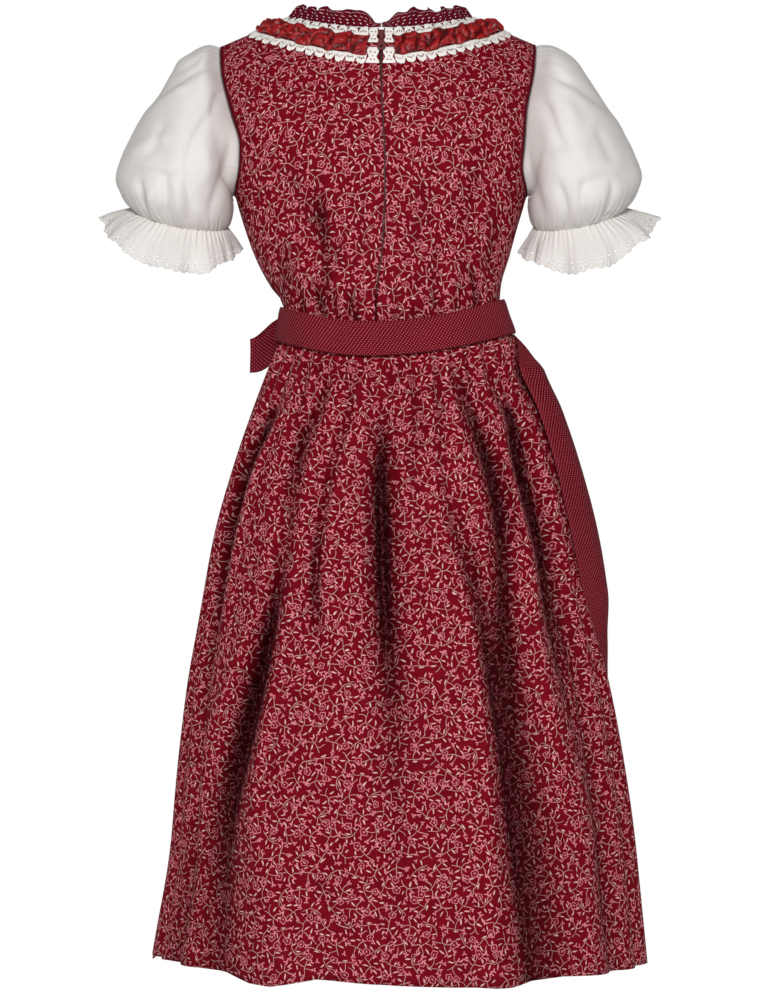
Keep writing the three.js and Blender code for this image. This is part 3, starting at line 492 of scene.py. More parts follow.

# %% [markdown]
# ## Dotted, plain and glossy cloths
# The apron, its tie and the frill are cut from a pin-dotted cotton. The bound edges are a dark strip,
# its darkness partly painted shade of the turned edge; the ruche is red satin, and the lace and sleeves
# are white cotton. Dots could be one wrapped grid, which is what is used, turned by 45 degrees as the real
# dots stand on the diagonal.


# %% The other cloths
def dotted_cotton(name, pitch, dot, ground, bright):
    """Dots where the wrapped and turned place lies near its cell's middle, and painted shade in folds."""
    material, tree, shader = look(name, ground, 0.82, specular=0.05)
    spot = spot_on_cloth(tree)
    turn = wire(tree, "ShaderNodeMapping", spot)
    turn.inputs["Rotation"].default_value = (0, 0, np.radians(45))
    half = pitch / 2
    inside = calc3(tree, "WRAP", turn.outputs[0], (half, half, 1), (-half, -half, -1))
    reach = calc3(tree, "LENGTH", inside)
    shade = wire(tree, "ShaderNodeTexNoise", calc3(tree, "MULTIPLY", spot, (0.02, 0.02, 0)), None, 1.0, 2.0)
    darker = tuple(0.85 * c for c in ground)
    base = blend(tree, ramp(tree, shade.outputs[0], 0.35, 0.65), darker, ground)
    dotted = blend(tree, ramp(tree, reach, dot + 0.12, dot - 0.12), base, bright)
    # painted shade: the dotted colour is darkened inside folds by their stored depth
    tree.links.new(painted_fold_shade(tree, dotted, (0.40, 0.32, 0.33)), shader.inputs["Base Color"])
    cotton_feel(tree, shader, 0.5, 0.4)
    return material


def plain_cloth(name, color, roughness, weave, crumple, shade_tint=(0.55, 0.52, 0.52), **sockets):
    """One colour with slightly darker clouds a few centimetres wide, and painted shade in folds in the shade
    tint.
    """
    material, tree, shader = look(name, color, roughness, **sockets)
    spot = spot_on_cloth(tree)
    shade = wire(tree, "ShaderNodeTexNoise", calc3(tree, "MULTIPLY", spot, (0.03, 0.03, 0)), None, 1.0, 2.0)
    darker = tuple(0.93 * c for c in color)
    base = blend(tree, ramp(tree, shade.outputs[0], 0.3, 0.7), darker, color)
    # painted shade: the colour is darkened inside folds where a piece stores their depth
    tree.links.new(painted_fold_shade(tree, base, shade_tint), shader.inputs["Base Color"])
    cotton_feel(tree, shader, weave, crumple)
    return material


apron_dots = dotted_cotton("pin_dot_cotton", 2.6, 0.34, (0.122, 0.0018, 0.009), (0.52, 0.24, 0.24))
frill_dots = dotted_cotton("frill_dot_cotton", 5.0, 0.62, (0.092, 0.0022, 0.010), (0.78, 0.62, 0.58))
# the binding's dark red is partly painted shade of the turned armhole edge
binding_with_edge_shade = plain_cloth("bound_edge_cotton", (0.085, 0.0022, 0.007), 0.8, 0.6, 0.2, specular=0.05)
# the ruche's shade tint is the colour of the painted shade in its pits
red_satin = plain_cloth(
    "ruche_satin", (0.27, 0.0052, 0.0075), 0.40, 0.15, 0.3, shade_tint=(0.20, 0.13, 0.16), specular=0.30
)
white_lace = plain_cloth("lace_cotton", (0.74, 0.70, 0.655), 0.9, 1.6, 0.2, sheen=0.03)
white_batiste = plain_cloth("sleeve_batiste", (0.615, 0.585, 0.56), 0.88, 0.4, 0.6, sheen=0.03)
dark_tape = plain_cloth("zip_tape_cotton", (0.012, 0.0015, 0.002), 0.85, 1.5, 0.1, specular=0.04)
thread_red = plain_cloth("sewing_thread", (0.13, 0.004, 0.012), 0.6, 0.1, 0.1)
lacquer = plain_cloth("zip_lacquer", (0.10, 0.018, 0.020), 0.32, 0.0, 0.3, specular=0.6, coat=0.3)
print("materials:", len(bpy.data.materials))

# %% [markdown]
# ## Bodice
# The real bodice is three panels: a front and two back halves with a concealed zip between them.
# Each panel is a fan of lines from the neck edge to the waist, the side seam or the armhole. A fan
# lets the trims round the neck follow the same lines. Gathers above the belt and soft drag lines
# are laid in afterwards, as the photograph shows them.


# %% Surface of the bodice
WAIST_END, SEAM_END = 22, 34  # degrees of the fan's last lines to the waist and to the side seam


def shoulder_line(aside):
    return NECK["top"] + (NECK["side"] - aside) * SHOULDER_SLOPE


def torso_depth(face, half, x, z):
    """An ellipse at each height, which rounds over to the shoulder line."""
    side = size_at(TORSO, z, 1 if half > 0 else 2)
    depth = size_at(TORSO, z, 3 if face > 0 else 4)
    aside = np.abs(x)
    rise = np.clip((z + 120) / (shoulder_line(aside) + 120), 0, 1)
    crown = (1 - rise**2) ** (1 / 1.6)
    return face * depth * np.sqrt(np.clip(1 - (aside / side) ** 2, 0, 1)) * crown


def waist_line(angle):
    """How far the waist lies below its height at the sides. Angle 0 is the left and 90 the back."""
    across, behind = turned(angle)
    return -4 * across - 22 * np.maximum(0, behind) ** 2


def trim_line(face, degrees, distance):
    """Where a line at this distance from the neck edge crosses a line of the fan."""
    middle, along = turned(degrees)
    middle = np.maximum(middle, 0)
    back = NECK["back_dip"] * (1 - along**1.9)
    dip = back if face > 0 else NECK["front_dip"] * middle**1.3
    fall = distance * (middle + SHOULDER_SLOPE * along**6)
    return (NECK["side"] + distance) * along, NECK["top"] - dip - fall


def panel_edge(face, half, degrees):
    """Where a line of the fan ends: at first on the waist, then on the side seam, and then on the
    armhole as far as the shoulder's tip."""
    column = 1 if half > 0 else 2
    turn = 90 * np.clip(degrees, 0, WAIST_END) / WAIST_END
    angle = face * (90 - turn if half > 0 else 90 + turn)
    waist_x = size_at(TORSO, np.full_like(turn, WAIST_SEAM), column) * turned(turn)[1]
    waist_z = WAIST_SEAM + waist_line(angle)
    side_low = WAIST_SEAM + waist_line(0 if half > 0 else 180)
    side_z = mix(side_low, UNDERARM, np.clip((degrees - WAIST_END) / (SEAM_END - WAIST_END), 0, 1))
    tip = size_at(ARMHOLE, 0, column)
    arm_z = mix(UNDERARM, shoulder_line(tip), np.clip((degrees - SEAM_END) / (90 - SEAM_END), 0, 1))
    x = np.where(degrees <= WAIST_END, waist_x, size_at(TORSO, side_z, column))
    x = np.where(degrees <= SEAM_END, x, size_at(ARMHOLE, arm_z, column))
    z = np.where(degrees <= WAIST_END, waist_z, np.where(degrees <= SEAM_END, side_z, arm_z))
    return x, z


def bodice(face, half, degrees, distance, reach=0.0):
    """A point of a panel: so far from the neck edge, then so much of the way on to the edge."""
    start, end = trim_line(face, degrees, distance), panel_edge(face, half, degrees)
    aside, z = mix(start[0], end[0], reach), mix(start[1], end[1], reach)
    y = torso_depth(face, half, aside, z)
    y = face * np.maximum(face * y, SEAM / 2)
    opening = np.maximum(0, 1 - aside / 60) if face > 0 else 0
    line, gap = size_at(CENTRE_BACK, z, 1), size_at(CENTRE_BACK, z, 2)
    return np.stack([half * aside + opening * (line + half * gap / 2), y, z], axis=-1)


FAN = np.array([0, 5.5, 10, 14, 18, 22, 23.6, 28, 34, 38, 44, 51, 58, 66, 74, 82, 90])
fan_lines = np.interp(np.linspace(0, 16, 81), np.arange(17), FAN)
trim_rows = np.array([0, 8.5, 18, 28.5, 37.0])  # millimetres from the neck edge
reach_rows = np.sin(np.linspace(0, np.pi / 2, 60))[1:]


def panel(face, half):
    """Rows upwards, columns from the middle to the shoulder's tip."""
    distance = np.concatenate([trim_rows, np.full(len(reach_rows), trim_rows[-1])])[::-1, None]
    reach = np.concatenate([np.zeros(len(trim_rows)), reach_rows])[::-1, None]
    return bodice(face, half, fan_lines[None, :], distance, reach)


# z0, x0, z1, x1, depth, half width, lean: gathers above the belt, drag lines to the armholes
BODICE_FOLDS_BACK = [
    (-296, -98, -236, -92, 2.6, 4.5, 0.4),
    (-300, -82, -262, -78, 2.2, 3.5, 0.2),
    (-304, -60, -270, -58, 2.0, 3.5, 0.3),
    (-306, -34, -274, -36, 2.4, 4.0, 0.3),
    (-306, -14, -250, -20, 2.6, 4.5, 0.5),
    (-306, 4, -262, 2, 2.6, 4.0, 0.2),
    (-304, 24, -262, 29, 2.8, 4.2, 0.4),
    (-300, 42, -268, 46, 2.2, 3.8, 0.2),
    (-298, 60, -258, 66, 2.8, 4.4, 0.4),
    (-292, 76, -252, 84, 2.4, 4.0, 0.3),
    (-270, 96, -214, 100, 2.2, 7.0, 0.2),
    (-250, -112, -190, -114, 2.0, 7.0, 0.2),
    (-238, 14, -150, 26, 1.4, 11.0, 0.1),
    (-236, -36, -140, -44, 1.5, 12.0, 0.1),
    (-225, 66, -130, 94, 1.6, 12.0, 0.2),
    (-220, -82, -120, -104, 1.6, 12.0, 0.2),
    (-120, 112, -60, 124, -1.4, 12.0, 0.0),
    (-110, -112, -60, -124, -1.4, 12.0, 0.0),
    (-290, 52, -150, 66, 2.4, 8.0, 0.4),
    (-296, 30, -200, 44, 1.8, 6.0, 0.3),
    (-300, -8, -232, -4, 2.4, 4.5, 0.2),
    (-296, -46, -205, -62, 1.8, 7.0, 0.3),
    (-285, -25, -240, -26, -1.8, 6.0, 0.0),
    (-284, 34, -240, 40, -1.8, 6.0, 0.0),
    (-276, 74, -230, 80, -1.6, 6.0, 0.0),
    (-280, -70, -230, -74, -1.8, 6.0, 0.0),
]
BODICE_FOLDS_FRONT = [
    (-292, -92, -230, -84, 2.6, 5.0, 0.3),
    (-292, -62, -244, -60, 2.2, 4.2, 0.2),
    (-292, -36, -250, -37, 2.2, 4.0, 0.3),
    (-292, -10, -236, -12, 2.6, 4.6, 0.3),
    (-292, 16, -252, 18, 2.4, 4.2, 0.2),
    (-292, 42, -240, 45, 2.4, 4.4, 0.3),
    (-292, 68, -246, 72, 2.4, 4.6, 0.3),
    (-240, -100, -150, -116, 1.8, 12.0, 0.2),
    (-240, 94, -150, 112, 1.8, 12.0, 0.2),
    (-200, -40, -120, -60, 1.2, 14.0, 0.1),
    (-200, 40, -120, 58, 1.2, 14.0, 0.1),
]


def fold_panel(points, table):
    """How far the folds go in at each point. They fade towards the trims, the seams and the zip."""
    x, z = points[..., 0], points[..., 2]
    rows, columns = x.shape
    low = fade(np.linspace(0, 1, rows), 0.0, 0.05)[:, None]
    free = mix(0.35, 1.0, low) * (1 - fade(np.arange(rows), rows - 12, rows - 5))[:, None]
    aside = np.linspace(0, 1, columns)
    edge = fade(aside, 0.0, 0.04) * (1 - fade(aside, 0.93, 1.0))
    wrinkle = 0.35 * np.sin(x * 0.11 + 2.1 * np.sin(z * 0.037)) * np.sin(z * 0.045 + 1.3 * np.sin(x * 0.06))
    return (2.3 * creases(x, z, table) + wrinkle) * free * edge[None, :]


def torso_lengths(points):
    """Cloth coordinates of the bodice: the way round an ellipse as wide as the torso is at each
    height, and the height less half the depth."""
    angle = np.linspace(-np.pi / 2, np.pi / 2, 400)
    around = np.cumsum(np.hypot(145 * np.cos(angle), 87 * np.sin(angle))) * (angle[1] - angle[0])
    x, z = points[..., 0], points[..., 2]
    reach = np.where(x > 0, size_at(TORSO, z, 1), size_at(TORSO, z, 2))
    across = np.interp(np.arcsin(np.clip(x / reach, -1, 1)), angle, around - around[200])
    across = across * mix(1, reach / 148, 0.7)
    return np.stack([across, z - 0.5 * np.abs(points[..., 1])], axis=-1) / 1000


def shaped_panel(face, half, table):
    """A panel with its folds pushed in along its normals, and how deep each point lies in them, which sets
    the painted shade in its folds.
    """
    points = panel(face, half)
    mirrored = face * half > 0
    normal = outward(points[:, ::-1])[:, ::-1] if mirrored else outward(points)
    pushed = fold_panel(points, table)
    return points - normal * pushed[..., None], fade(pushed, 1.0, 9.0)


back_left, sunk_left = shaped_panel(1, 1, BODICE_FOLDS_BACK)
back_right, sunk_right = shaped_panel(1, -1, BODICE_FOLDS_BACK)
front_left, sunk_front_left = shaped_panel(-1, 1, BODICE_FOLDS_FRONT)
front_right, sunk_front_right = shaped_panel(-1, -1, BODICE_FOLDS_FRONT)
front_whole = np.concatenate([front_right[:, ::-1], front_left[:, 1:]], axis=1)
sunk_front = np.concatenate([sunk_front_right[:, ::-1], sunk_front_left[:, 1:]], axis=1)
sew(
    "bodice_back_left", back_left[:, ::-1], vine_print, ["back_bodice_left"], 0.9,
    lengths=torso_lengths(back_left[:, ::-1]), depth=sunk_left[:, ::-1],
)
sew(
    "bodice_back_right", back_right, vine_print, ["back_bodice_right"], 0.9,
    lengths=torso_lengths(back_right), depth=sunk_right,
)
sew(
    "bodice_front", front_whole, vine_print, ["front_bodice"], 0.9,
    lengths=torso_lengths(front_whole) * (-1, 1), depth=sunk_front,
)

# %% [markdown]
# ## Trims round the neck
# Two rows of scalloped cotton lace frame a ruche of red satin, and a gathered frill stands above.
# A trim is sewn on the panels, so it is made from their points and moved out along their normals.
# Holes in lace could be painted with transparency. Here the faces in them are left out, so that
# they are true holes from every side and in the exported model.


# %% Round the neck
ENDS = (0.0165, 0.9835)  # where the laces and the ruche begin and end on the way round the neck


def round_neck(at, distance, out):
    """A point on the trims: at runs 0 to 1 from the left back edge over the front to the right back
    edge, and the point lies so far from the neck edge and so far out of the panels."""
    quarter = np.clip(at, 0, 1) * 4
    points, normals = np.zeros((*at.shape, 3)), np.zeros((*at.shape, 3))
    for number, (face, half) in enumerate(((1, 1), (-1, 1), (-1, -1), (1, -1))):
        inside = (quarter >= number) & (quarter <= number + 1)
        part = quarter - number
        line = part if number % 2 == 0 else 1 - part
        degrees = np.interp(line, np.linspace(0, 1, 17), FAN)
        own = bodice(face, half, degrees, distance)
        after, before = np.clip(degrees + 0.6, 0, 90), np.clip(degrees - 0.6, 0, 90)
        step = bodice(face, half, after, distance) - bodice(face, half, before, distance)
        down = bodice(face, half, degrees, distance + 3) - bodice(face, half, degrees, distance - 3)
        normal = np.cross(step, down) * half * face
        normal *= np.sign(np.sum(normal * (0, face, 1), axis=-1, keepdims=True))
        normal /= np.maximum(np.linalg.norm(normal, axis=-1, keepdims=True), 1e-9)
        points[inside], normals[inside] = own[inside], normal[inside]
    return points + normals * np.asarray(out)[..., None]


def along_trim(ends, columns, distance):
    """Places along the neck at even spacing, and the trim's length there in millimetres."""
    at = np.linspace(*ends, 4000)
    line = round_neck(at, np.full_like(at, distance), np.zeros_like(at))
    length = np.pad(np.cumsum(np.linalg.norm(np.diff(line, axis=0), axis=-1)), (1, 0))
    even = np.linspace(0, length[-1], columns)
    return np.interp(even, length, at), even


def square_on(at, length, middle, distance):
    """Places moved along the neck so that a line across the trim stands square on it: the fan's own
    lean along the trim is measured and taken back."""
    flat = np.zeros_like(at)
    lean = (round_neck(at, flat + middle + 1, flat) - round_neck(at, flat + middle - 1, flat)) / 2
    line = round_neck(at, flat + middle, flat)
    speed = np.gradient(length, at)
    along = np.gradient(line, axis=0) / np.gradient(length)[:, None]
    return at - (distance - middle) * np.sum(lean * along, axis=-1) / speed


BUMP = 10.8  # millimetres along the lace from one bump to the next
# place along a bump and across the lace, half width and half height of each hole
LACE_HOLES = ((2.7, 4.4, 0.55, 1.2), (4.6, 4.9, 0.55, 1.3), (6.4, 4.9, 0.55, 1.3), (8.2, 4.4, 0.55, 1.2))


def lace_edge(name, near, far, node, lift, up=True):
    """A row of bumps with small holes. The bumps' edge lies at near and the straight edge at far. Each
    bump is a rounded arch with three lobes, and a slit parts it from the next:
    tall = 0.17 + 0.72 arch, arch = (1 - |2 phase - 1|**3.4)**0.65, with phase 0 to 1 along a bump."""
    middle = (near + far) / 2
    columns, rows = int(round((ENDS[1] - ENDS[0]) * 1200)), 14
    at, length = along_trim(ENDS, columns, middle)
    pitch = length[-1] / round(length[-1] / BUMP)
    phase = (length / pitch) % 1
    arch = np.clip(1 - np.abs(2 * phase - 1) ** 3.4, 0, 1) ** 0.65
    lobes = 0.11 * np.abs(np.sin(3 * np.pi * phase)) * arch
    uneven = 0.05 * np.sin(length * 0.71) + 0.05 * np.sin(length * 0.23 + 1)
    tall = np.clip(0.17 + 0.72 * arch + lobes + uneven * arch, 0.12, 1.15)
    part = np.linspace(0, 1, rows)[:, None]
    distance = far + (near - far) * part * tall[None, :]
    puff = 0.5 * np.sin(np.pi * part) * arch[None, :]
    curl = 0.5 * part * np.sin(length * 0.37 + 0.8)[None, :]
    points = round_neck(square_on(at, length, middle, distance), distance, lift + 0.75 + puff + curl)
    face_x, face_y = phase[None, :-1] * pitch, (part[:-1] + 0.5 / rows) * abs(far - near)
    cut = np.zeros((rows - 1, columns - 1), bool)
    for x, y, wide, high in LACE_HOLES:
        gap = np.abs((face_x - x + pitch / 2) % pitch - pitch / 2)
        cut |= (gap / wide) ** 2 + ((face_y - y) / high) ** 2 < 1
    if not up:
        points, cut = points[::-1], cut[::-1]
    return sew(name, points[:, ::-1], white_lace, [node], 0.45, cut=cut[:, ::-1])


lace_edge("lace_upper", -0.4, 9.4, "upper_lace", 0.4)
lace_edge("lace_lower", 38.2, 28.0, "lower_lace", 0.5, up=False)


# %% Lace ends beside the zip
def lace_end(name, ends, near, far, node):
    """A short strip of lace turned down beside the opening: a grid with five round holes."""
    columns, rows = 22, 44
    across = np.linspace(*ends, columns)[None, :]
    part = np.linspace(0, 1, rows)[:, None]
    side = 0.0016 * np.sin(part * 9 + 1.0) * (np.linspace(-1, 1, columns)[None, :])
    distance = far + (near - far) * np.broadcast_to(part, (rows, columns))
    puff = 0.4 * np.sin(np.pi * part) * np.sin(np.pi * np.linspace(0, 1, columns))[None, :]
    points = round_neck(np.broadcast_to(across + side, distance.shape), distance, 0.95 + puff)
    x = np.linspace(0, 8, columns - 1)[None, :]
    y = np.linspace(0, abs(far - near), rows - 1)[:, None]
    cut = np.zeros((rows - 1, columns - 1), bool)
    for hole_x, hole_y in ((2.6, 3.2), (5.4, 3.6), (4.0, 7.2), (2.4, 10.8), (5.6, 11.2)):
        cut |= ((x - hole_x) / 0.7) ** 2 + ((y - hole_y) / 0.8) ** 2 < 1
    return sew(name, points[:, ::-1], white_lace, [node], 0.45, cut=cut[:, ::-1])


for side, ends in (("left", (0.0018, 0.0155)), ("right", (0.9845, 0.9982))):
    lace_end(f"lace_turned_upper_{side}", ends, 0.5, 15.6, f"lace_end_upper_{side}")
    lace_end(f"lace_turned_lower_{side}", ends, 20.6, 36.8, f"lace_end_lower_{side}")


# %% Ruche
def ruche():
    """Gathered satin: two families of slanting folds cross, and between their sharp valleys the cloth
    stands in shells. The height is a product of two blunt sines with a third, finer one on top."""
    columns, rows, middle, wide = 1040, 23, 18.5, 20
    at, length = along_trim(ENDS, columns, middle)
    part = np.linspace(0, 1, rows)[:, None]
    u, v = length[None, :], wide * part
    first = u + 0.75 * v + 2.6 * np.sin(0.33 * u + 0.5) + 1.8 * np.sin(0.45 * v + 0.13 * u)
    second = 0.55 * u - 0.95 * v + 2.4 * np.sin(0.27 * u + 2) + 1.6 * np.sin(0.62 * v + 0.21 * u)
    third = 0.9 * u + 1.5 * v + 1.9 * np.sin(0.5 * u) + 1.1 * np.sin(1.1 * v)
    blunt_first = np.abs(np.sin(np.pi * first / 14.5)) ** 0.65
    blunt_second = np.abs(np.sin(np.pi * second / 10.5)) ** 0.65
    shells = 6.4 * blunt_first * (0.30 + 0.70 * blunt_second) + 1.0 * np.abs(np.sin(np.pi * third / 5.1))
    bed = np.clip(np.sin(np.pi * mix(0.04, 0.96, part)), 0, 1) ** 0.5
    height = 0.3 + bed * shells
    wavy = 1.6 * np.sin(2 * np.pi * first / 29) * (1 - 2 * part)
    wavy = wavy + 0.9 * np.cos(2 * np.pi * second / 19) * bed
    distance = mix(28.6, 8.3, part) + wavy
    points = round_neck(square_on(at, length, middle, distance), distance, 0.75 + height)
    # painted shade: the pits between the satin's shells are darkened by how low they lie
    sunk = 1 - fade(shells, 1.6, 6.0)
    return sew(
        "satin_ruche_fine", points[:, ::-1], red_satin, ["satin_ruche"], 0.3, depth=sunk[:, ::-1]
    )


ruche()


# %% Frill
FRILL_HEIGHT = 17.5


def frill():
    """A gathered strip that stands on the neck edge: it is lower at the back opening, where its ends
    nearly meet, its waves grow upwards, and it leans in over the shoulders."""
    columns, rows = 700, 11
    at, length = along_trim((0.0005, 0.9995), columns, 0)
    base = round_neck(at, np.zeros_like(at), np.zeros_like(at))
    end = np.minimum(at, 1 - at) * 64
    uneven = 1 + 0.06 * np.sin(length * 0.13) + 0.05 * np.sin(length * 0.31)
    height = FRILL_HEIGHT * (0.28 + 0.72 * fade(end, 0, 2.6)) * uneven
    outwards = base * (1, 1, 0)
    outwards /= np.linalg.norm(outwards, axis=-1, keepdims=True)
    shoulder = np.abs(outwards[:, 0]) ** 3
    up = np.linspace(0, 1, rows)[:, None]
    total = length[-1]
    slow = length + 3.0 * np.sin(length * 0.071) + 1.2 * np.sin(length * 0.19)
    broad = 2 * np.pi * 26 * slow / total
    wave = 2.4 * np.cos(broad) + 0.9 * np.cos(2 * np.pi * 61 * slow / total + 1)
    aside = up**0.8 * wave[None, :] - height * up * 0.55 * shoulder
    curl = -1.8 * up**3 * np.sin(broad + 0.9)
    rise = height * up * mix(1, 0.65, shoulder) + curl
    points = base[None] + outwards[None] * aside[..., None]
    points[..., 2] += rise + 0.5
    to_middle = (base[0, 0] + base[-1, 0]) / 2 - base[:, 0]
    points[..., 0] += 0.8 * to_middle * (1 - fade(end, 0.0, 0.5))
    return sew("collar_frill_fine", points[:, ::-1], frill_dots, ["collar_frill"], 0.6)


frill()

# %% [markdown]
# ## Zip
# The zip is concealed: a dark tape behind the slit, a slider at the top and a drop-shaped pull tab.
# The slider and the tab are hard, so their solids stay and get a lacquer and a bevel. The tape and
# its coil are made here. The coil is one thread wound along the slit, a profile along a path.


# %% Tape, coil, slider and tab
opening = (back_left[:, 0] + back_right[:, 0]) / 2  # its middle at each row of the back panels


def zip_tape():
    """A flat strip behind the opening that follows both back edges."""
    middle = opening[:-1]
    across = np.linspace(-1, 1, 9)[None, :, None]
    side = np.array([8.0, 0, 0])
    drop = np.array([0, -1, 0]) * (2.1 + 0.25 * across**2)
    points = middle[:, None] + side * across + drop
    return sew("zip_tape_fine", points[:, ::-1], dark_tape, ["zip_tape"], 0.6)


def tube(name, path, radius, cloth, sides=4):
    """A round profile carried along a path: at each point a circle in the plane across the path."""
    along = np.gradient(path, axis=0)
    along /= np.maximum(np.linalg.norm(along, axis=1, keepdims=True), 1e-9)
    guide = np.where(np.abs(along[:, 1:2]) < 0.8, [[0.0, 1.0, 0.0]], [[0.0, 0.0, 1.0]])
    first = np.cross(along, guide)
    first /= np.linalg.norm(first, axis=1, keepdims=True)
    second = np.cross(along, first)
    angle = np.linspace(0, 2 * np.pi, sides, endpoint=False)
    radius = np.broadcast_to(radius, (len(path),))[:, None, None]
    circle = first[:, None] * np.cos(angle)[None, :, None] + second[:, None] * np.sin(angle)[None, :, None]
    return sew(name, path[:, None] + radius * circle, cloth, thick=0, ring=True)


zip_tape()
COIL_PITCH = 1.7
coil_z = np.linspace(-26, -268, 1150)
coil_x, coil_y = (np.interp(coil_z, opening[:, 2], opening[:, k]) for k in (0, 1))
turns = coil_z * 2 * np.pi / COIL_PITCH
coil = np.stack([coil_x + 1.1 * np.sin(turns), coil_y - 1.35 + 0.3 * np.cos(turns), coil_z], axis=-1)
tube("zip_coil", coil, 0.25, lacquer)

for node in ("zip_slider", "zip_pull_tab"):
    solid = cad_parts[node]
    solid.data.materials.clear()
    solid.data.materials.append(lacquer)
    edge = solid.modifiers.new("softened_edges", "BEVEL")
    edge.width = 0.00025
    edge.segments = 2
print("zip pieces: tape, coil, slider, tab")

# %% [markdown]
# ## Armholes and puff sleeves
# Each armhole is bound with a dark strip, whose darkness is partly painted shade of the turned edge, and
# a gathered sleeve is sewn in under it. A sleeve is a tube through rings: full at the shoulder, drawn in by
# elastic above the elbow, with a ruffle below.
# Its creases come from a table, with fine gathers at the head and at the elastic. A cloth simulation
# would puff the sleeves too, but their creases would fall anywhere.

# %% Rings of the sleeve
# outermost x and z, innermost x and z, half depth, how far the back hangs, extra sag of the back
SLEEVE = np.array([
    (177, -17, 147.5, -168, 62, 0, 0),
    (199, -31, 146.4, -172, 74, 2, 0),
    (217, -58, 145.8, -176, 80, 4, 0),
    (235, -83, 146, -180, 82, 6, 0),
    (252, -113, 146.6, -184, 80, 9, 0),
    (264, -144, 148, -189, 74, 12, 0),
    (258, -165, 150, -194, 60, 13, 0),
    (246, -180, 153.5, -198, 45, 12, 0),
])
RUFFLE = np.array([
    (246.2, -178.6, 153.4, -196.9, 45.0, 12.0, 0),
    (266, -183, 146, -208, 56, 16, 10),
    (279, -190, 140, -221, 64, 19, 19),
])


def smooth_rows(table, count):
    """More rows between those of a table, on a curve through them (Catmull and Rom's formula)."""
    padded = np.concatenate([2 * table[:1] - table[1:2], table, 2 * table[-1:] - table[-2:-1]])
    place = np.linspace(0, len(table) - 1, count)
    i = np.minimum(place.astype(int), len(table) - 2)
    t = (place - i).reshape((-1,) + (1,) * (table.ndim - 1))
    a, b, c, d = padded[i], padded[i + 1], padded[i + 2], padded[i + 3]
    return 0.5 * (2 * b + (c - a) * t + (2 * a - 5 * b + 4 * c - d) * t**2 + (3 * b - a - 3 * c + d) * t**3)


def sleeve_rings(rows, half, turns):
    """An ellipse for each row: 0 is furthest out, 90 degrees the back, 180 nearest the body."""
    row = rows[:, None, :]
    part, behind = (1 + np.cos(turns))[None] / 2, np.sin(turns)[None]
    inset = 0 if half > 0 else 3
    x = mix(row[..., 2] + (0 if half > 0 else 1.6), row[..., 0] - inset, part)
    z = mix(row[..., 3], row[..., 1], part) - row[..., 5] * behind - row[..., 6] * behind**2
    return np.stack([half * x, row[..., 4] * behind, z], axis=-1)


def armhole_ring(half, count):
    """The armhole's edge from the shoulder's tip down the back and up the front, with the directions
    out of the cloth and away from the bodice at each place."""
    turns = np.linspace(0, 2 * np.pi, count, endpoint=False)
    share = (1 + np.cos(turns)) / 2
    degrees = SEAM_END + (90 - SEAM_END) * share
    faces = np.where(turns < np.pi, 1, -1)
    points, out = np.zeros((count, 3)), np.zeros((count, 3))
    for face in (1, -1):
        own = faces == face
        x, z = panel_edge(face, half, degrees)
        depth = torso_depth(face, half, x, z)
        slope_x = (torso_depth(face, half, x + 0.5, z) - torso_depth(face, half, x - 0.5, z)) * half
        slope_z = torso_depth(face, half, x, z + 0.5) - torso_depth(face, half, x, z - 0.5)
        normal = np.stack([-slope_x, np.ones_like(x), -slope_z], axis=-1) * face
        points[own] = np.stack([half * x, depth, z], axis=-1)[own]
        out[own] = normal[own]
    out /= np.linalg.norm(out, axis=1, keepdims=True)
    for _ in range(6):
        points = (np.roll(points, 1, axis=0) + 2 * points + np.roll(points, -1, axis=0)) / 4
        out = (np.roll(out, 1, axis=0) + 2 * out + np.roll(out, -1, axis=0)) / 4
    out /= np.linalg.norm(out, axis=1, keepdims=True)
    tangent = np.roll(points, -1, axis=0) - np.roll(points, 1, axis=0)
    away = np.cross(tangent, out)
    away *= np.sign(np.sum(away * (np.array([half * 190, 0, -92]) - points), axis=1, keepdims=True))
    away /= np.linalg.norm(away, axis=1, keepdims=True)
    return points, out, away


# z0, x0, z1, x1, depth, half width, lean, on the back and then on the front
SLEEVE_CREASES_BACK = [
    (-38, 160, -76, 230, 3.4, 6.0, 0.5),
    (-60, 190, -80, 226, -2.2, 5.0, 0.0),
    (-66, 154, -92, 166, 3.0, 4.5, 0.4),
    (-92, 166, -150, 192, 3.6, 6.0, 0.5),
    (-114, 144, -192, 166, 3.4, 5.5, 0.4),
    (-144, 258, -152, 198, 3.2, 4.5, 0.5),
    (-100, 212, -134, 230, 2.6, 5.5, 0.3),
    (-128, 250, -112, 206, -2.2, 6.0, 0.0),
    (-152, 240, -194, 226, 3.4, 4.2, 0.3),
    (-150, 214, -196, 208, 3.6, 4.5, -0.3),
    (-150, 186, -196, 186, 3.4, 4.5, 0.3),
    (-164, 228, -196, 222, -2.2, 4.0, 0.0),
    (-158, 200, -198, 197, -2.4, 4.0, 0.0),
    (-50, 175, -120, 186, 1.6, 9.0, 0.2),
    (-80, 205, -150, 222, 1.6, 10.0, 0.2),
    (-30, 176, -52, 206, 2.2, 4.0, 0.3),
    (-26, 190, -44, 214, -1.6, 5.0, 0.0),
    (-120, 168, -160, 172, -2.0, 6.0, 0.0),
]
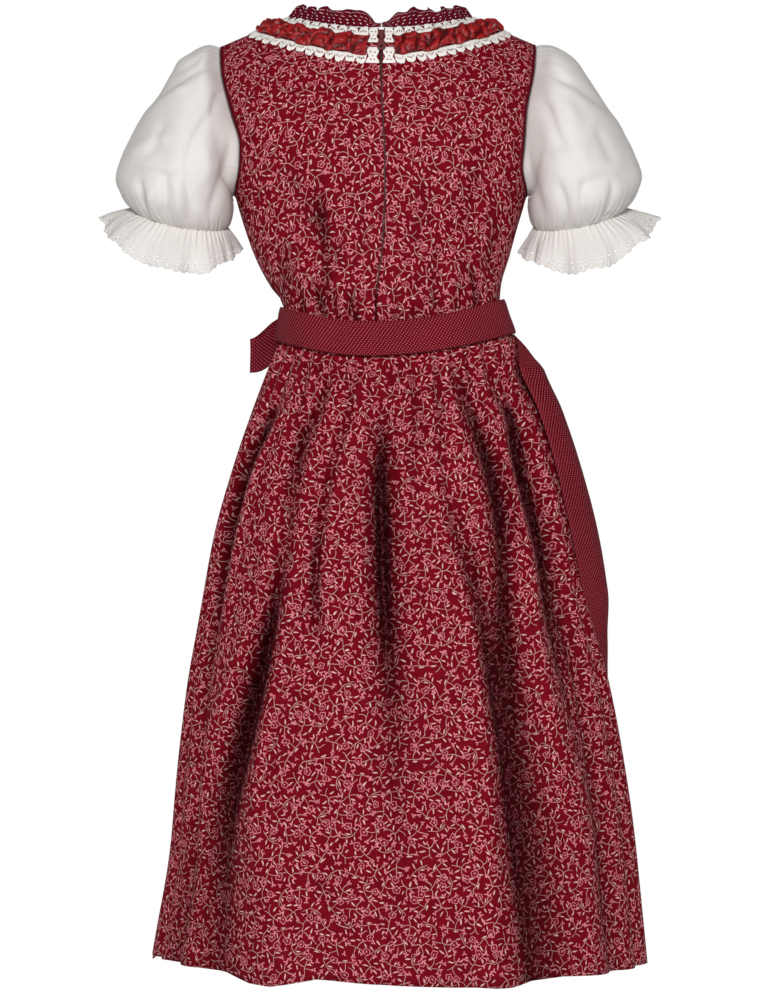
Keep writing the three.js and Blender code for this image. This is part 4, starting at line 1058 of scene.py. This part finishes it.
SLEEVE_CREASES_FRONT = [
    (-34, 164, -80, 226, 3.2, 6.0, 0.5),
    (-70, 156, -130, 186, 3.4, 6.0, 0.4),
    (-112, 146, -190, 164, 3.0, 5.5, 0.3),
    (-140, 256, -156, 204, 3.0, 5.0, 0.4),
    (-96, 214, -136, 232, 2.6, 6.0, 0.3),
    (-150, 236, -196, 224, 3.2, 4.5, 0.3),
    (-150, 206, -196, 204, 3.4, 4.5, -0.3),
    (-154, 184, -198, 184, 3.2, 4.5, 0.3),
    (-120, 210, -128, 176, -2.2, 7.0, 0.0),
    (-60, 190, -100, 200, 1.8, 9.0, 0.2),
]


def gathers(place, count, seed):
    """Uneven waves round a ring: two sines whose phases drift."""
    drift = 0.9 * np.sin(place * 3 + seed) + 0.6 * np.sin(place * 7 + 2 * seed)
    fewer = count * 0.62 // 1
    return 0.65 * np.sin(place * count + drift) + 0.35 * np.sin(place * fewer + 1.7 * drift + seed)


def sleeve(half, side):
    """Smooth rings from the armhole to the elastic, with creases, gathers at both ends and a soft
    crumple. The right sleeve has the same creases, exchanged between its back and its front."""
    count, rows = 204, 72
    turns = np.linspace(0, 2 * np.pi, count, endpoint=False)
    edge, out, away = armhole_ring(half, count)
    start = (edge + away * 3.6 + out * 0.4)[None]
    rings = np.concatenate([start, sleeve_rings(SLEEVE, half, turns)])
    points = smooth_rows(rings, rows)
    level = np.linspace(0, 1, rows)[:, None]
    middle = points.mean(axis=1, keepdims=True)
    normal = outward(points, ring=True)
    normal *= np.sign(np.sum(normal * (points - middle), axis=-1, keepdims=True))
    x, z = np.abs(points[..., 0]) + (0 if half > 0 else 3), points[..., 2]
    behind = fade(points[..., 1], -12, 12)
    front, back = creases(x, z, SLEEVE_CREASES_FRONT), creases(x, z, SLEEVE_CREASES_BACK)
    if half < 0:
        shift = 4 * np.sin(z * 0.05)
        front = creases(x + shift, z - 5, SLEEVE_CREASES_BACK)
        back = creases(x - shift, z + 6, SLEEVE_CREASES_FRONT)
    pushed = 0.95 * mix(front, back, behind)
    head = np.exp(-((level / 0.13) ** 1.4)) * 0.7 * gathers(turns, 46, 1.0 + half)[None]
    head = head * (0.3 + 0.7 * np.cos(turns / 2) ** 4)
    cuff = np.exp(-(((1 - level) / 0.15) ** 1.3)) * 1.3 * gathers(turns, 58, 2.0 + half)[None]
    crumple = 0.5 * np.sin(x * 0.13 + 1.5 * np.sin(z * 0.08))
    crumple = crumple * np.sin(z * 0.11 + 1.4 * np.sin(x * 0.07 + half))
    free = fade(level, 0.0, 0.06) * (1 - 0.8 * fade(level, 0.95, 1.0))
    inward = pushed * free + head * fade(level, 0, 0.03) + cuff * free + crumple * free
    points = points - normal * inward[..., None]
    ordered = points[::-1] if half > 0 else points[::-1, ::-1]
    return sew(f"puff_sleeve_{side}", ordered, white_batiste, [f"sleeve_{side}"], 0.5, ring=True)


SCALLOPS = 52
# place along a scallop and down the ruffle, half width and half height of each hole, as shares
EYELETS = (
    (0.0, 0.90, 0.11, 0.035), (0.22, 0.84, 0.08, 0.03), (0.78, 0.84, 0.08, 0.03), (0.5, 0.76, 0.13, 0.03),
)


def ruffle(half, side):
    """Below the elastic: rings that widen, with waves that grow, and an eyelet lace edge of scallops
    and holes along the last 11 millimetres."""
    count, rows, fine_rows = 520, 26, 200
    turns = np.linspace(0, 2 * np.pi, count, endpoint=False)
    edge = 0.5 + 0.5 * np.cos(turns * SCALLOPS)
    row = np.linspace(0, 1, rows)[:, None]
    level = row * (1 + 0.035 * edge[None] * fade(row, 0.7, 1))
    rings = sleeve_rings(smooth_rows(RUFFLE, fine_rows), half, turns)
    column, last = np.arange(count)[None], fine_rows - 1
    spot = np.clip(level, 0, 1) * last
    low = np.minimum(spot.astype(int), last - 1)
    share = (spot - low) + np.maximum(level - 1, 0) * last
    points = mix(rings[low, column], rings[low + 1, column], share[..., None])
    away = points - points.mean(axis=1, keepdims=True)
    away /= np.linalg.norm(away, axis=-1, keepdims=True)
    wave = 3.2 * np.cos(turns * 8 + 1.1 * np.sin(turns * 3 + half))
    wave = wave + 1.3 * np.sin(turns * 19 + 2 * np.sin(turns * 2))
    fine = 1.1 * gathers(turns, 58, 0.5 + half)
    swing = wave[None] * level**1.3 + fine[None] * (1 - 0.8 * fade(level, 0, 0.6))
    points = points + away * swing[..., None]
    points[..., 2] += 2.4 * np.sin(turns * 8 + 1.3)[None] * level**2
    cell = (turns * SCALLOPS / (2 * np.pi))[None, :] % 1
    cut = np.zeros((rows - 1, count), bool)
    for at, high, wide, tall in EYELETS:
        gap = np.abs((cell - at + 0.5) % 1 - 0.5)
        cut |= (gap / wide) ** 2 + ((row[:-1] - high) / tall) ** 2 < 1
    ordered, holes = points[::-1], cut[::-1]
    if half < 0:
        ordered, holes = ordered[:, ::-1], np.roll(holes[:, ::-1], -1, axis=1)
    name, node = f"sleeve_ruffle_{side}_fine", f"sleeve_ruffle_{side}"
    return sew(name, ordered, white_batiste, [node], 0.45, ring=True, cut=holes)


def binding(half, side):
    """A rounded strip: a flattened oval profile carried round the armhole, with its row of stitches."""
    edge, out, away = armhole_ring(half, 180)
    angle = np.linspace(0, 2 * np.pi, 12, endpoint=False)
    wide = 1.6 * np.sign(np.cos(angle)) * np.abs(np.cos(angle)) ** 0.6
    thick = 1.0 * np.sign(np.sin(angle)) * np.abs(np.sin(angle)) ** 0.8
    centre = edge + away * 1.7 - out * 0.35
    points = centre[:, None] + away[:, None] * wide[None, :, None] + out[:, None] * thick[None, :, None]
    points = np.concatenate([points, points[:1]])
    if half < 0:
        points = points[:, ::-1]
    # the strip's dark cloth is partly painted shade of the turned edge
    sew(f"armhole_bound_{side}", points, binding_with_edge_shade, [f"armhole_binding_{side}"], 0, ring=True)
    stitch_line(f"armhole_stitches_{side}", edge + (away * -1.6 + out * 0.25))


def stitch_line(name, line):
    """Stitches 2.5 mm apart round a ring: a tube whose radius swings between thread and nothing."""
    line = np.concatenate([line, line[:1]])
    length = np.pad(np.cumsum(np.linalg.norm(np.diff(line, axis=0), axis=-1)), (1, 0))
    even = np.arange(0, length[-1], 0.8)
    line = np.stack([np.interp(even, length, line[:, k]) for k in range(3)], axis=-1)
    radius = 0.02 + 0.26 * (np.sin(even * np.pi / 1.25) > -0.35)
    return tube(name, line, radius, thread_red)


for half, side in ((1, "left"), (-1, "right")):
    binding(half, side)
    sleeve(half, side)
    ruffle(half, side)

# %% [markdown]
# ## Skirt
# The skirt is two wide rectangles of printed cotton, gathered to the waist and sewn at the sides.
# Under the belt it stands in many uneven gathers. They merge into about eight soft folds at the
# hem. The envelope comes from the table of measurements, and each fold from a table of its own. A
# fold is pushed nearly straight in from the back or the front, so that it stays in its place there.

# %% Folds of the skirt
# Each fold is a line down the cloth. Its rows hold the height, the sideways place, how deep the cloth
# goes in there, and how wide the slope is on the left and on the right: a narrow one is a steep wall.
SKIRT_FOLDS_BACK = [
    [(-328, 90, 0, 3, 3), (-348, 94, 6, 4, 3.5), (-372, 102, 10, 6, 4), (-393, 111, 28, 9, 4),
     (-430, 128, 42, 10, 4), (-470, 142, 40, 10, 5), (-517, 153, 34, 10, 5), (-570, 163, 26, 10, 6),
     (-640, 174, 14, 12, 8), (-740, 184, 0, 14, 10)],
    [(-328, 47, 0, 3, 3), (-352, 50, 10, 4, 3.5), (-385, 62, 15, 6, 4), (-413, 75, 24, 9, 4.5),
     (-450, 84, 20, 9, 5), (-510, 92, 14, 8, 5), (-557, 99, 24, 7, 5), (-600, 107, 38, 10, 5.5),
     (-670, 122, 50, 14, 6), (-717, 134, 48, 17, 7), (-770, 146, 36, 24, 10), (-823, 152, 27, 32, 15),
     (-890, 156, 22, 38, 24), (-960, 158, 20, 40, 30)],
    [(-328, 24, 0, 2.5, 2.5), (-345, 26, 8, 3, 3), (-387, 31, 9, 3.5, 3), (-432, 46, 10, 4, 3.5),
     (-473, 53, 12, 4, 3.5), (-510, 60, 16, 3.5, 3.5), (-557, 63, 20, 3.5, 3.5), (-585, 62, 14, 4, 4),
     (-612, 61, 0, 5, 5)],
    [(-350, 3, 0, 4, 4), (-385, -1, 10, 6, 6), (-417, -3, 24, 8, 8), (-457, -1, 36, 9, 10),
     (-510, -2, 40, 9, 12), (-557, -3, 38, 9, 13), (-603, -6, 32, 10, 16), (-650, -10, 24, 12, 22),
     (-730, -16, 16, 14, 28), (-820, -22, 10, 18, 32), (-900, -26, 6, 20, 34)],
    [(-330, -70, 0, 3, 3), (-347, -75, 8, 4, 4), (-363, -82, 16, 5, 6), (-403, -95, 28, 6, 8),
     (-443, -108, 34, 6, 10), (-483, -117, 34, 7, 11), (-523, -120, 30, 8, 12), (-570, -122, 24, 9, 13),
     (-617, -125, 16, 10, 14), (-700, -129, 0, 12, 16)],
    [(-328, -55, 0, 3, 3), (-357, -58, 9, 3.5, 3.5), (-396, -60, 8, 4.5, 4.5), (-440, -64, 6, 5, 8),
     (-490, -73, 14, 6, 14), (-530, -85, 21, 5, 18), (-583, -98, 28, 5, 22), (-643, -108, 34, 6, 30),
     (-703, -118, 37, 7, 36), (-770, -127, 36, 9, 41), (-823, -134, 34, 11, 44), (-890, -143, 30, 14, 46),
     (-960, -151, 27, 18, 46)],
    [(-328, -106, 0, 3, 3), (-350, -113, 9, 3.5, 3.5), (-370, -121, 12, 4, 5), (-390, -130, 30, 4.5, 8),
     (-437, -138, 42, 5, 10), (-490, -151, 44, 5, 12), (-537, -161, 40, 5, 14), (-583, -168, 34, 6, 16),
     (-637, -178, 26, 7, 20), (-717, -198, 16, 9, 22), (-800, -214, 6, 12, 22), (-900, -228, 3, 12, 20)],
    [(-326, 9, 0, 2.5, 2.5), (-346, 9, 7, 3, 3), (-380, 9, 6, 4, 4), (-412, 8, 0, 5, 5)],
    [(-328, -9, 0, 2.5, 2.5), (-350, -9, 7, 3, 3), (-372, -10, 5, 3.5, 3.5), (-398, -12, 0, 5, 5)],
    [(-328, -30, 0, 3, 3), (-356, -34, 7, 3.5, 3.5), (-398, -38, 9, 4.5, 4.5), (-439, -37, 5, 6, 6),
     (-490, -38, 0, 7, 7)],
    [(-328, 72, 0, 3, 3), (-350, 75, 7, 3.5, 3.5), (-372, 79, 6, 4, 4), (-405, 90, 0, 5, 5)],
    [(-362, -124, 0, 3, 3), (-384, -131, 6, 3, 3), (-417, -143, 6, 4, 4), (-446, -149, 0, 4, 4)],
    [(-328, -88, 0, 3, 3), (-350, -92, 6, 3.5, 3), (-376, -99, 5, 4, 4), (-404, -106, 0, 5, 5)],
    [(-326, 61, 0, 2.5, 2.5), (-346, 61, 5, 3, 3), (-374, 66, 0, 3.5, 3.5)],
    [(-326, -20, 0, 2.5, 2.5), (-342, -21, 5, 2.5, 2.5), (-366, -22, 0, 3.5, 3.5)],
    [(-326, -43, 0, 2.5, 2.5), (-344, -45, 5, 3, 3), (-376, -47, 0, 4, 4)],
    [(-326, 36, 0, 2.5, 2.5), (-342, 37, 5, 2.5, 2.5), (-366, 40, 0, 3.5, 3.5)],
    [(-330, 84, 0, 3, 3), (-350, 86, 5, 3, 3), (-380, 95, 0, 4, 4)],
    [(-790, 88, 0, 8, 5), (-840, 58, 4, 10, 6), (-870, 38, 5, 10, 6), (-905, 12, 4, 10, 6),
     (-935, -8, 2, 10, 8)],
    [(-560, -40, 0, 12, 14), (-640, -50, 6, 16, 20), (-720, -62, 8, 18, 22), (-800, -80, 6, 20, 20),
     (-900, -92, 5, 20, 20), (-960, -95, 5, 20, 20)],
    [(-640, 188, 0, 8, 10), (-760, 203, 6, 10, 12), (-960, 218, 9, 12, 14)],
    [(-680, 58, 0, 16, 20), (-800, 60, 4, 20, 24), (-960, 50, 8, 24, 24)],
    [(-680, -204, 0, 8, 8), (-790, -222, 7, 9, 12), (-960, -243, 9, 12, 12)],
]
SKIRT_FOLDS_FRONT = [
    [(-328, 78, 0, 3, 3), (-360, 84, 8, 5, 5), (-520, 112, 14, 7, 12), (-700, 138, 17, 9, 22),
     (-960, 165, 15, 12, 28)],
    [(-328, 40, 0, 3, 3), (-370, 44, 9, 5, 5), (-540, 58, 15, 12, 7), (-720, 70, 17, 24, 8),
     (-960, 78, 14, 30, 12)],
    [(-328, -12, 0, 3, 3), (-370, -14, 9, 5, 5), (-540, -20, 16, 9, 12), (-720, -26, 15, 10, 24),
     (-960, -30, 13, 14, 28)],
    [(-328, -60, 0, 3, 3), (-370, -68, 9, 5, 5), (-540, -92, 16, 7, 12), (-720, -112, 18, 8, 24),
     (-960, -124, 15, 12, 30)],
    [(-328, -104, 0, 3, 3), (-370, -118, 9, 4, 6), (-540, -152, 15, 6, 12), (-720, -182, 14, 8, 18),
     (-960, -206, 11, 12, 18)],
    [(-360, 118, 0, 4, 4), (-480, 145, 12, 10, 5), (-640, 176, 10, 14, 8), (-960, 205, 8, 14, 10)],
    [(-328, 10, 0, 3, 3), (-350, 10, 6, 3, 3), (-400, 12, 0, 5, 5)],
    [(-328, -36, 0, 3, 3), (-350, -38, 6, 3, 3), (-410, -44, 0, 5, 5)],
    [(-328, 60, 0, 3, 3), (-350, 62, 6, 3, 3), (-400, 70, 0, 5, 5)],
]
# at the sides the place is measured towards the back
SKIRT_FOLDS_SIDE = [
    [(-340, 40, 0, 4, 4), (-380, 44, 6, 5, 5), (-560, 62, 11, 7, 11), (-760, 76, 12, 9, 16),
     (-960, 84, 11, 12, 18)],
    [(-340, 16, 0, 4, 4), (-390, 20, 6, 5, 5), (-600, 28, 10, 9, 7), (-780, 32, 11, 14, 9),
     (-960, 34, 10, 18, 11)],
    [(-340, -20, 0, 4, 4), (-390, -24, 6, 5, 5), (-600, -34, 10, 7, 9), (-780, -42, 10, 9, 14),
     (-960, -46, 9, 11, 16)],
    [(-340, -48, 0, 4, 4), (-400, -56, 6, 5, 5), (-620, -78, 11, 12, 8), (-800, -90, 12, 16, 9),
     (-960, -98, 11, 18, 12)],
]


def long_folds(x, z, table):
    """How far the cloth goes in: across each fold a bell curve with a sharp core, whose half width
    differs on its two sides, and beside it the cloth swells out a little."""
    total = np.zeros_like(x)
    for rows in table:
        rows = np.array(rows, float)
        place, depth, left, right = (size_at(rows, z, k) for k in (1, 2, 3, 4))
        inside = (z <= rows[0, 0]) & (z >= rows[-1, 0])
        aside = x - place
        part = np.abs(aside) / np.where(aside > 0, left, right)
        total += inside * depth * (np.exp(-(part**1.4)) - 0.13 * np.exp(-(((part - 2.3) / 0.8) ** 2)))
    return total


# sideways place and how far the hem lies above or below its mean height, at the back
HEM = np.array([
    (-237, -1), (-178, 0), (-126, -6), (-67, -3), (6, 1), (61, 4), (105, -4), (126, -3), (150, 4), (179, 6),
])


SKIRT_SEAM = 0.03  # half the gap between the two panels


def skirt_envelope(angle, z):
    """An ellipse at each height, which dips with the waist at the top, and the direction out of it."""
    across, behind = turned(angle)
    side = np.where(across > 0, size_at(SKIRT, z, 1), size_at(SKIRT, z, 2))
    depth = np.where(behind > 0, size_at(SKIRT, z, 3), size_at(SKIRT, z, 4))
    hang = waist_line(angle) * fade(z, -720, WAIST_SEAM)
    out = np.stack([across / side, behind / depth, np.zeros_like(side * across)], axis=-1)
    out /= np.linalg.norm(out, axis=-1, keepdims=True)
    return np.stack([side * across, depth * behind, z + hang], axis=-1), out


def skirt_surface(angle, z, face):
    """The envelope with its gathers and folds pushed in, and how deep each point lies in them, which sets
    the painted shade in the folds. Under the apron the front is drawn in, and both panels end at the side
    seam."""
    points, out = skirt_envelope(angle, z)
    x, height = points[..., 0], points[..., 2]
    turn = np.radians(angle)
    to_side = np.abs(np.cos(turn))
    drift = 0.9 * np.sin(turn * 5 + 1) + 0.6 * np.sin(turn * 11 + 2)
    gathered = 2.4 * (0.5 - 0.5 * np.cos(37 * turn + 2 * drift)) * fade(z, -450, -330)
    gathered += 1.5 * (0.5 - 0.5 * np.cos(71 * turn + 3 * drift)) * fade(z, -385, -325)
    folds = long_folds(x, height, SKIRT_FOLDS_BACK if face > 0 else SKIRT_FOLDS_FRONT)
    folds *= 1 - fade(to_side, 0.94, 0.995)
    sway = 1.1 * np.sin(x * 0.045 + 1.6 * np.sin(height * 0.012)) * np.sin(height * 0.021 + x * 0.01)
    points = points - out * (gathered + sway * (1 - fade(z, -400, -300)))[..., None]
    side_folds = long_folds(points[..., 1] + 6 * np.sign(x), height, SKIRT_FOLDS_SIDE)
    side_folds *= fade(to_side, 0.72, 0.9)
    points = points - out * side_folds[..., None]
    straight_in = out * (0.12, 1, 1)
    straight_in /= np.linalg.norm(straight_in, axis=-1, keepdims=True)
    points = points - straight_in * folds[..., None]
    lift = np.interp(x, HEM[:, 0], HEM[:, 1]) if face > 0 else 3 * np.sin(x * 0.03)
    points[..., 2] += lift * (1 - fade(z, -930, -780)) - 0.3 * (z > -292)
    if face < 0:
        under_apron = fade(-z, 330, 380) * (1 - fade(-z, 880, 910))
        points = points - out * (3.2 * under_apron * fade(np.abs(np.sin(turn)), 0.1, 0.35))[..., None]
    points[..., 1] = face * np.maximum(face * points[..., 1], SKIRT_SEAM)
    return points, fade(folds + side_folds + 0.6 * gathered, 4.0, 34.0)


def skirt_panel(name, face, columns, rows, node):
    """Half of the skirt, with rows closer together under the belt than at the hem."""
    angle = (0 if face > 0 else 180) + np.linspace(0, 180, columns)[None]
    z = -930 + 639 * np.linspace(0, 1, rows)[:, None] ** 0.86
    angle, z = np.broadcast_to(angle, (rows, columns)), np.broadcast_to(z, (rows, columns))
    points, sunk = skirt_surface(angle, z, face)
    lengths = cloth_lengths(mix(skirt_envelope(angle, z)[0], points, 0.25))
    return sew(name, points, vine_print, [node], 0.9, lengths=lengths, depth=sunk)


skirt_panel("skirt_back_fine", 1, 350, 114, "skirt_back")
skirt_panel("skirt_front_fine", -1, 190, 72, "skirt_front")

# %% [markdown]
# ## Apron, tie and bow
# The apron is gathered into a band whose tie goes on round the back, and it is tied in a bow at the
# front left. It hangs over the skirt's front and stands off at the right, where it shows from behind.
# Loops and tails are strips carried along a path. A cloth simulation could drop them into place, but
# strips laid one by one keep the bow where the photograph has it.

# %% Apron
# height and how far the right edge stands off the skirt
STAND_OFF = np.array([
    (-307, 0), (-327, 10), (-346, 19), (-470, 20), (-561, 16), (-611, 7), (-661, 0), (-880, 0),
])
APRON_HEM, APRON_TOP = -880, -307.6


def apron():
    """The skirt's envelope moved out, with gathers under the band and broad folds below. The right
    edge turns forward and stands off the skirt."""
    columns, rows = 184, 88
    part = np.linspace(0, 1, columns)[None]
    z = mix(APRON_HEM, APRON_TOP, np.linspace(0, 1, rows) ** 0.9)[:, None]
    low = fade(z, APRON_HEM, -560)
    angle = mix(mix(206, 184, low), mix(330, 342, low), part)
    points, out = skirt_envelope(angle, z)
    gathered = mix(0.35, 1, fade(z, -420, -320)) * (1 - fade(z, -330, -300))
    drift = 0.9 * np.sin(part * 13) + 0.5 * np.sin(part * 31)
    wave = 3.4 * gathered * (0.5 - 0.5 * np.cos(2 * np.pi * 18 * part + drift))
    ripple = 1.2 * fade(z, -400, -330) * (0.5 - 0.5 * np.cos(2 * np.pi * 47 * part + drift))
    leaning = 2 * np.pi * 5.5 * part + 1.3 * np.sin(part * 8) + 0.6 * np.sin(z * 0.008)
    broad = 9 * (1 - fade(z, -640, -350)) * (0.5 - 0.5 * np.cos(leaning)) ** 1.3
    edge = size_at(STAND_OFF, z, 1) * (1 - fade(part, 0, 0.22))
    soft = 0.8 * np.sin(part * 40 + z * 0.012) * (1 - fade(z, -500, -380))
    points = points + out * (1.9 + wave + ripple * fade(-z, 312, 340) + broad + edge + soft)[..., None]
    hook = np.clip(1 - part / 0.11, 0, 1)
    share = size_at(STAND_OFF, z, 1) / 20
    points[..., 0] += share * (24 * hook**4 - 11 * np.sin(np.pi * np.minimum(hook / 0.9, 1)))
    points[..., 1] += share * 44 * (1 - (1 - hook) ** 1.5)
    points[..., 2] += 1.5 * np.sin(part * 24) * (1 - fade(z, APRON_HEM, -820))
    # painted shade: how far inside the gathers and broad folds each point lies, which darkens its colour
    sunk = 0.8 * (1 - fade(wave + ripple + broad, 1.0, 6.0)) * fade(part, 0.03, 0.12)
    return sew("apron_fine", points, apron_dots, ["apron_panel"], 0.8, depth=sunk)


apron()

# %% Band and tie
# share of the band's height, then half widths to the left and the right, and the depth
BAND = np.array([(0, 105.2, 136.4, 82.4), (0.5, 102.6, 130.6, 81.6), (1, 100.2, 124.8, 81.6)])


def band_point(angle, up):
    """A point of the band: so far round the waist and so far up its height."""
    across, behind = turned(angle)
    left, right, depth = (np.interp(up, BAND[:, 0], BAND[:, k]) for k in (1, 2, 3))
    x = np.where(across > 0, left, right) * across
    z = -273 - 34 * (1 - up) + waist_line(angle)
    return np.stack(np.broadcast_arrays(x, depth * behind, z), axis=-1)


def band():
    """The band goes all round, with rolled edges and slight soft buckles, deeper at its lower edge."""
    columns, rows = 360, 16
    angle = np.linspace(0, 360, columns, endpoint=False)[None]
    up = np.linspace(0, 1, rows)[:, None]
    points = band_point(angle, np.broadcast_to(up, (rows, columns)))
    turn = np.radians(angle)
    buckle = 0.5 * np.sin(turn * 9 + 2.2 * up) + 0.35 * np.sin(turn * 23 + 4 * up + 1) * (1 - up)
    roll = 0.7 * (1 - (2 * up - 1) ** 8)
    normal = outward(points, ring=True)
    normal *= np.sign(np.sum(normal * points * (1, 1, 0), axis=-1, keepdims=True))
    points = points + normal * (buckle * np.sin(np.pi * up) + roll - 0.5)[..., None]
    return sew("band_and_tie", points, apron_dots, ["apron_band"], 1.6, ring=True)


band()

# %% Bow
BOW_ANGLE = -48
bow_centre = band_point(np.array(BOW_ANGLE), 0.5)
across, behind = turned(BOW_ANGLE)
bow_side = np.array([-102.6 * behind, 81.6 * across, 0])
bow_side /= np.linalg.norm(bow_side)
bow_out = np.array([bow_side[1], -bow_side[0], 0])
UP = np.array([0, 0, 1])


def bow_loop(name, direction, reach, droop, hug, node):
    """A strip that leaves the knot next to the band, turns back at its reach and returns outside. It
    is gathered at the knot, and its edges roll."""
    columns, rows = 90, 20
    turn = np.linspace(0, 2 * np.pi, columns)
    along = 12.5 + (reach - 12) * (0.5 - 0.5 * np.cos(turn))
    out = mix(7, 12, np.linspace(0, 1, columns)) - 5 * np.sin(turn) - hug * along**2 / 190
    fall = droop * fade(along, 12, reach)
    tall = mix(22, 35, fade(along, 12, 42))
    up = np.linspace(0, 1, rows)[:, None]
    near = 1 - fade(along, 12, 40)
    pleat = 1.0 * near * np.cos(2 * np.pi * 2.5 * up) + 0.5 * np.sin(along * 0.12 + 4 * up)
    height = tall[None] * (up - 0.5) - fall[None] + 0.8 * np.sin(along * 0.15) * (up - 0.5)
    points = (
        bow_centre
        + direction * bow_side * (along[None, :, None] + 0 * up[..., None])
        + bow_out * (out[None] + pleat * np.sin(turn / 2) ** 2)[..., None]
        + UP * height[..., None]
    )
    ordered = points if direction > 0 else points[:, ::-1]
    return sew(name, ordered, apron_dots, [node], 0.8)


def bow_knot():
    """A crossed oval: its radius swells where the wrap's folds run over it."""
    rows, columns = 40, 64
    tilt = np.linspace(-np.pi / 2 + 0.02, np.pi / 2 - 0.02, rows)[:, None]
    turn = np.linspace(0, 2 * np.pi, columns, endpoint=False)[None]
    waist = np.exp(-(((np.abs(tilt) - 0.9) / 0.2) ** 2))
    fold = 1 + 0.035 * np.cos(5 * turn + 2 * tilt) * np.cos(tilt) - 0.06 * waist
    side = 12 * fold * np.cos(tilt) * np.cos(turn)
    out = 8 * fold * np.cos(tilt) * np.sin(turn)
    up = 19 * np.sign(np.sin(tilt)) * np.abs(np.sin(tilt)) ** 0.9 + 0 * turn
    centre = bow_centre + bow_out * 8.5
    points = centre + bow_side * side[..., None] + bow_out * out[..., None] + UP * up[..., None]
    return sew("bow_knot_fine", points[:, ::-1], apron_dots, ["bow_knot"], 0, ring=True)


def bow_tail(name, lean, length, node):
    """A strip that hangs from under the knot over the apron, with soft waves across it."""
    rows, columns = 60, 16
    down = np.linspace(1, 0, rows)[:, None]
    across = np.linspace(-0.5, 0.5, columns)[None]
    z = bow_centre[2] - 17.9 - length * down + 0 * across
    angle = BOW_ANGLE + lean * (0.4 + 0.6 * fade(down, 0, 0.35))
    own, _ = skirt_envelope(angle + 0 * across, z)
    stretch = np.hypot(own[..., 1], own[..., 0])
    wide = mix(15, 35, fade(down, 0, 0.35))
    points, out = skirt_envelope(angle + across * wide / stretch / np.pi * 180, z)
    wave = 1.4 * np.sin(down * 9 + across * 3 + lean) * down
    wave = wave + 0.8 * np.cos(across * 12) * (1 - fade(down, 0, 0.4))
    points = points + out * (12.5 + wave)[..., None]
    points[..., 2] = z - 8 * (down == 1) * across * np.sign(lean)
    return sew(name, points, apron_dots, [node], 0.8)


bow_loop("bow_loop_left_fine", 1, 70, 32, 0.1, "bow_loop_left")
bow_loop("bow_loop_front_fine", -1, 58, 14, 0.75, "bow_loop_front")
bow_knot()
bow_tail("bow_tail_left_fine", 13, 210, "bow_tail_left")
bow_tail("bow_tail_front_fine", -13, 192, "bow_tail_front")

# %% [markdown]
# ## Area of each piece
# Cloth is bought flat. Each piece prints its number of faces and its area in square metres as it is
# sewn; its flat width and length are not given.

# %% [markdown]
# ## Studio
# The photograph is a product shot: soft light from the front, and a pure white ground. A white room
# could be built round the dress. Here only the camera sees a white sky, dimmer overhead; for the
# cloth the sky is faint, so that the ground is white and the folds still keep their shade.

# %% Floor, sky and lights
floor_mesh = bpy.data.meshes.new("studio_floor")
FLOOR_RADIUS, FLOOR_HEIGHT, FLOOR_SIDES = 2.4, -1.4, 96
floor_turn = np.linspace(0, 2 * np.pi, FLOOR_SIDES, endpoint=False)
across, behind = FLOOR_RADIUS * np.cos(floor_turn), FLOOR_RADIUS * np.sin(floor_turn)
disc = np.stack([across, behind, np.full(FLOOR_SIDES, FLOOR_HEIGHT)], axis=-1)
floor_mesh.from_pydata(disc.tolist(), [], [list(range(FLOOR_SIDES))])
floor = bpy.data.objects.new("studio_floor", floor_mesh)
bpy.context.scene.collection.objects.link(floor)
floor_look, _, _ = look("pale_floor", (0.86, 0.86, 0.86), 0.9)
floor_mesh.materials.append(floor_look)

sky = bpy.data.worlds.new("studio_sky")
bpy.context.scene.world = sky
sky.use_nodes = True
direction = sky.node_tree.nodes.new("ShaderNodeTexCoord").outputs["Generated"]
height = wire(sky.node_tree, "ShaderNodeSeparateXYZ", direction).outputs[2]
above = calc(sky.node_tree, "ABSOLUTE", height)
ground_white = ramp(sky.node_tree, above, 0.3, 0.5, 1.0, 0.4)
seen = sky.node_tree.nodes.new("ShaderNodeLightPath").outputs["Is Camera Ray"]
FAINT_SKY = 0.14
level = wire(sky.node_tree, "ShaderNodeMix", seen, None, FAINT_SKY, ground_white)
sky.node_tree.links.new(level.outputs[0], sky.node_tree.nodes["Background"].inputs["Strength"])
sky.node_tree.nodes["Background"].inputs["Color"].default_value = (1, 1, 1, 1)


AIM, BOX_SIZE = (0, 0, -0.45), 0.8


def softbox(name, place, power):
    """A square area light that faces the middle of the dress."""
    light = bpy.data.lights.new(name, "AREA")
    light.size = BOX_SIZE
    light.energy = power
    holder = bpy.data.objects.new(name, light)
    bpy.context.scene.collection.objects.link(holder)
    holder.location = place
    holder.rotation_euler = (Vector(AIM) - Vector(place)).to_track_quat("-Z", "Y").to_euler()


for side, face in (("back", 1), ("front", -1)):
    softbox(f"key_{side}", (0.1 * face, 3.4 * face, 0.75), 118)
    softbox(f"fill_{side}_left", (2.4, 1.9 * face, 0.3), 12)
    softbox(f"fill_{side}_right", (-2.4, 1.9 * face, 0.3), 12)
print("lights:", len(bpy.data.lights))

# %% Camera
camera = bpy.data.objects.new("camera", bpy.data.cameras.new("camera"))
bpy.context.scene.collection.objects.link(camera)
bpy.context.scene.camera = camera
camera.data.lens = 126
camera.data.sensor_width = 36
camera.location = (-0.0045, 3.5, -0.470)
camera.rotation_euler = (np.pi / 2, 0, np.pi)
bpy.context.scene.view_settings.view_transform = "Standard"
print("camera:", list(camera.location))

# %% [markdown]
# ## Finish

# %% Finish
bpy.context.view_layer.update()
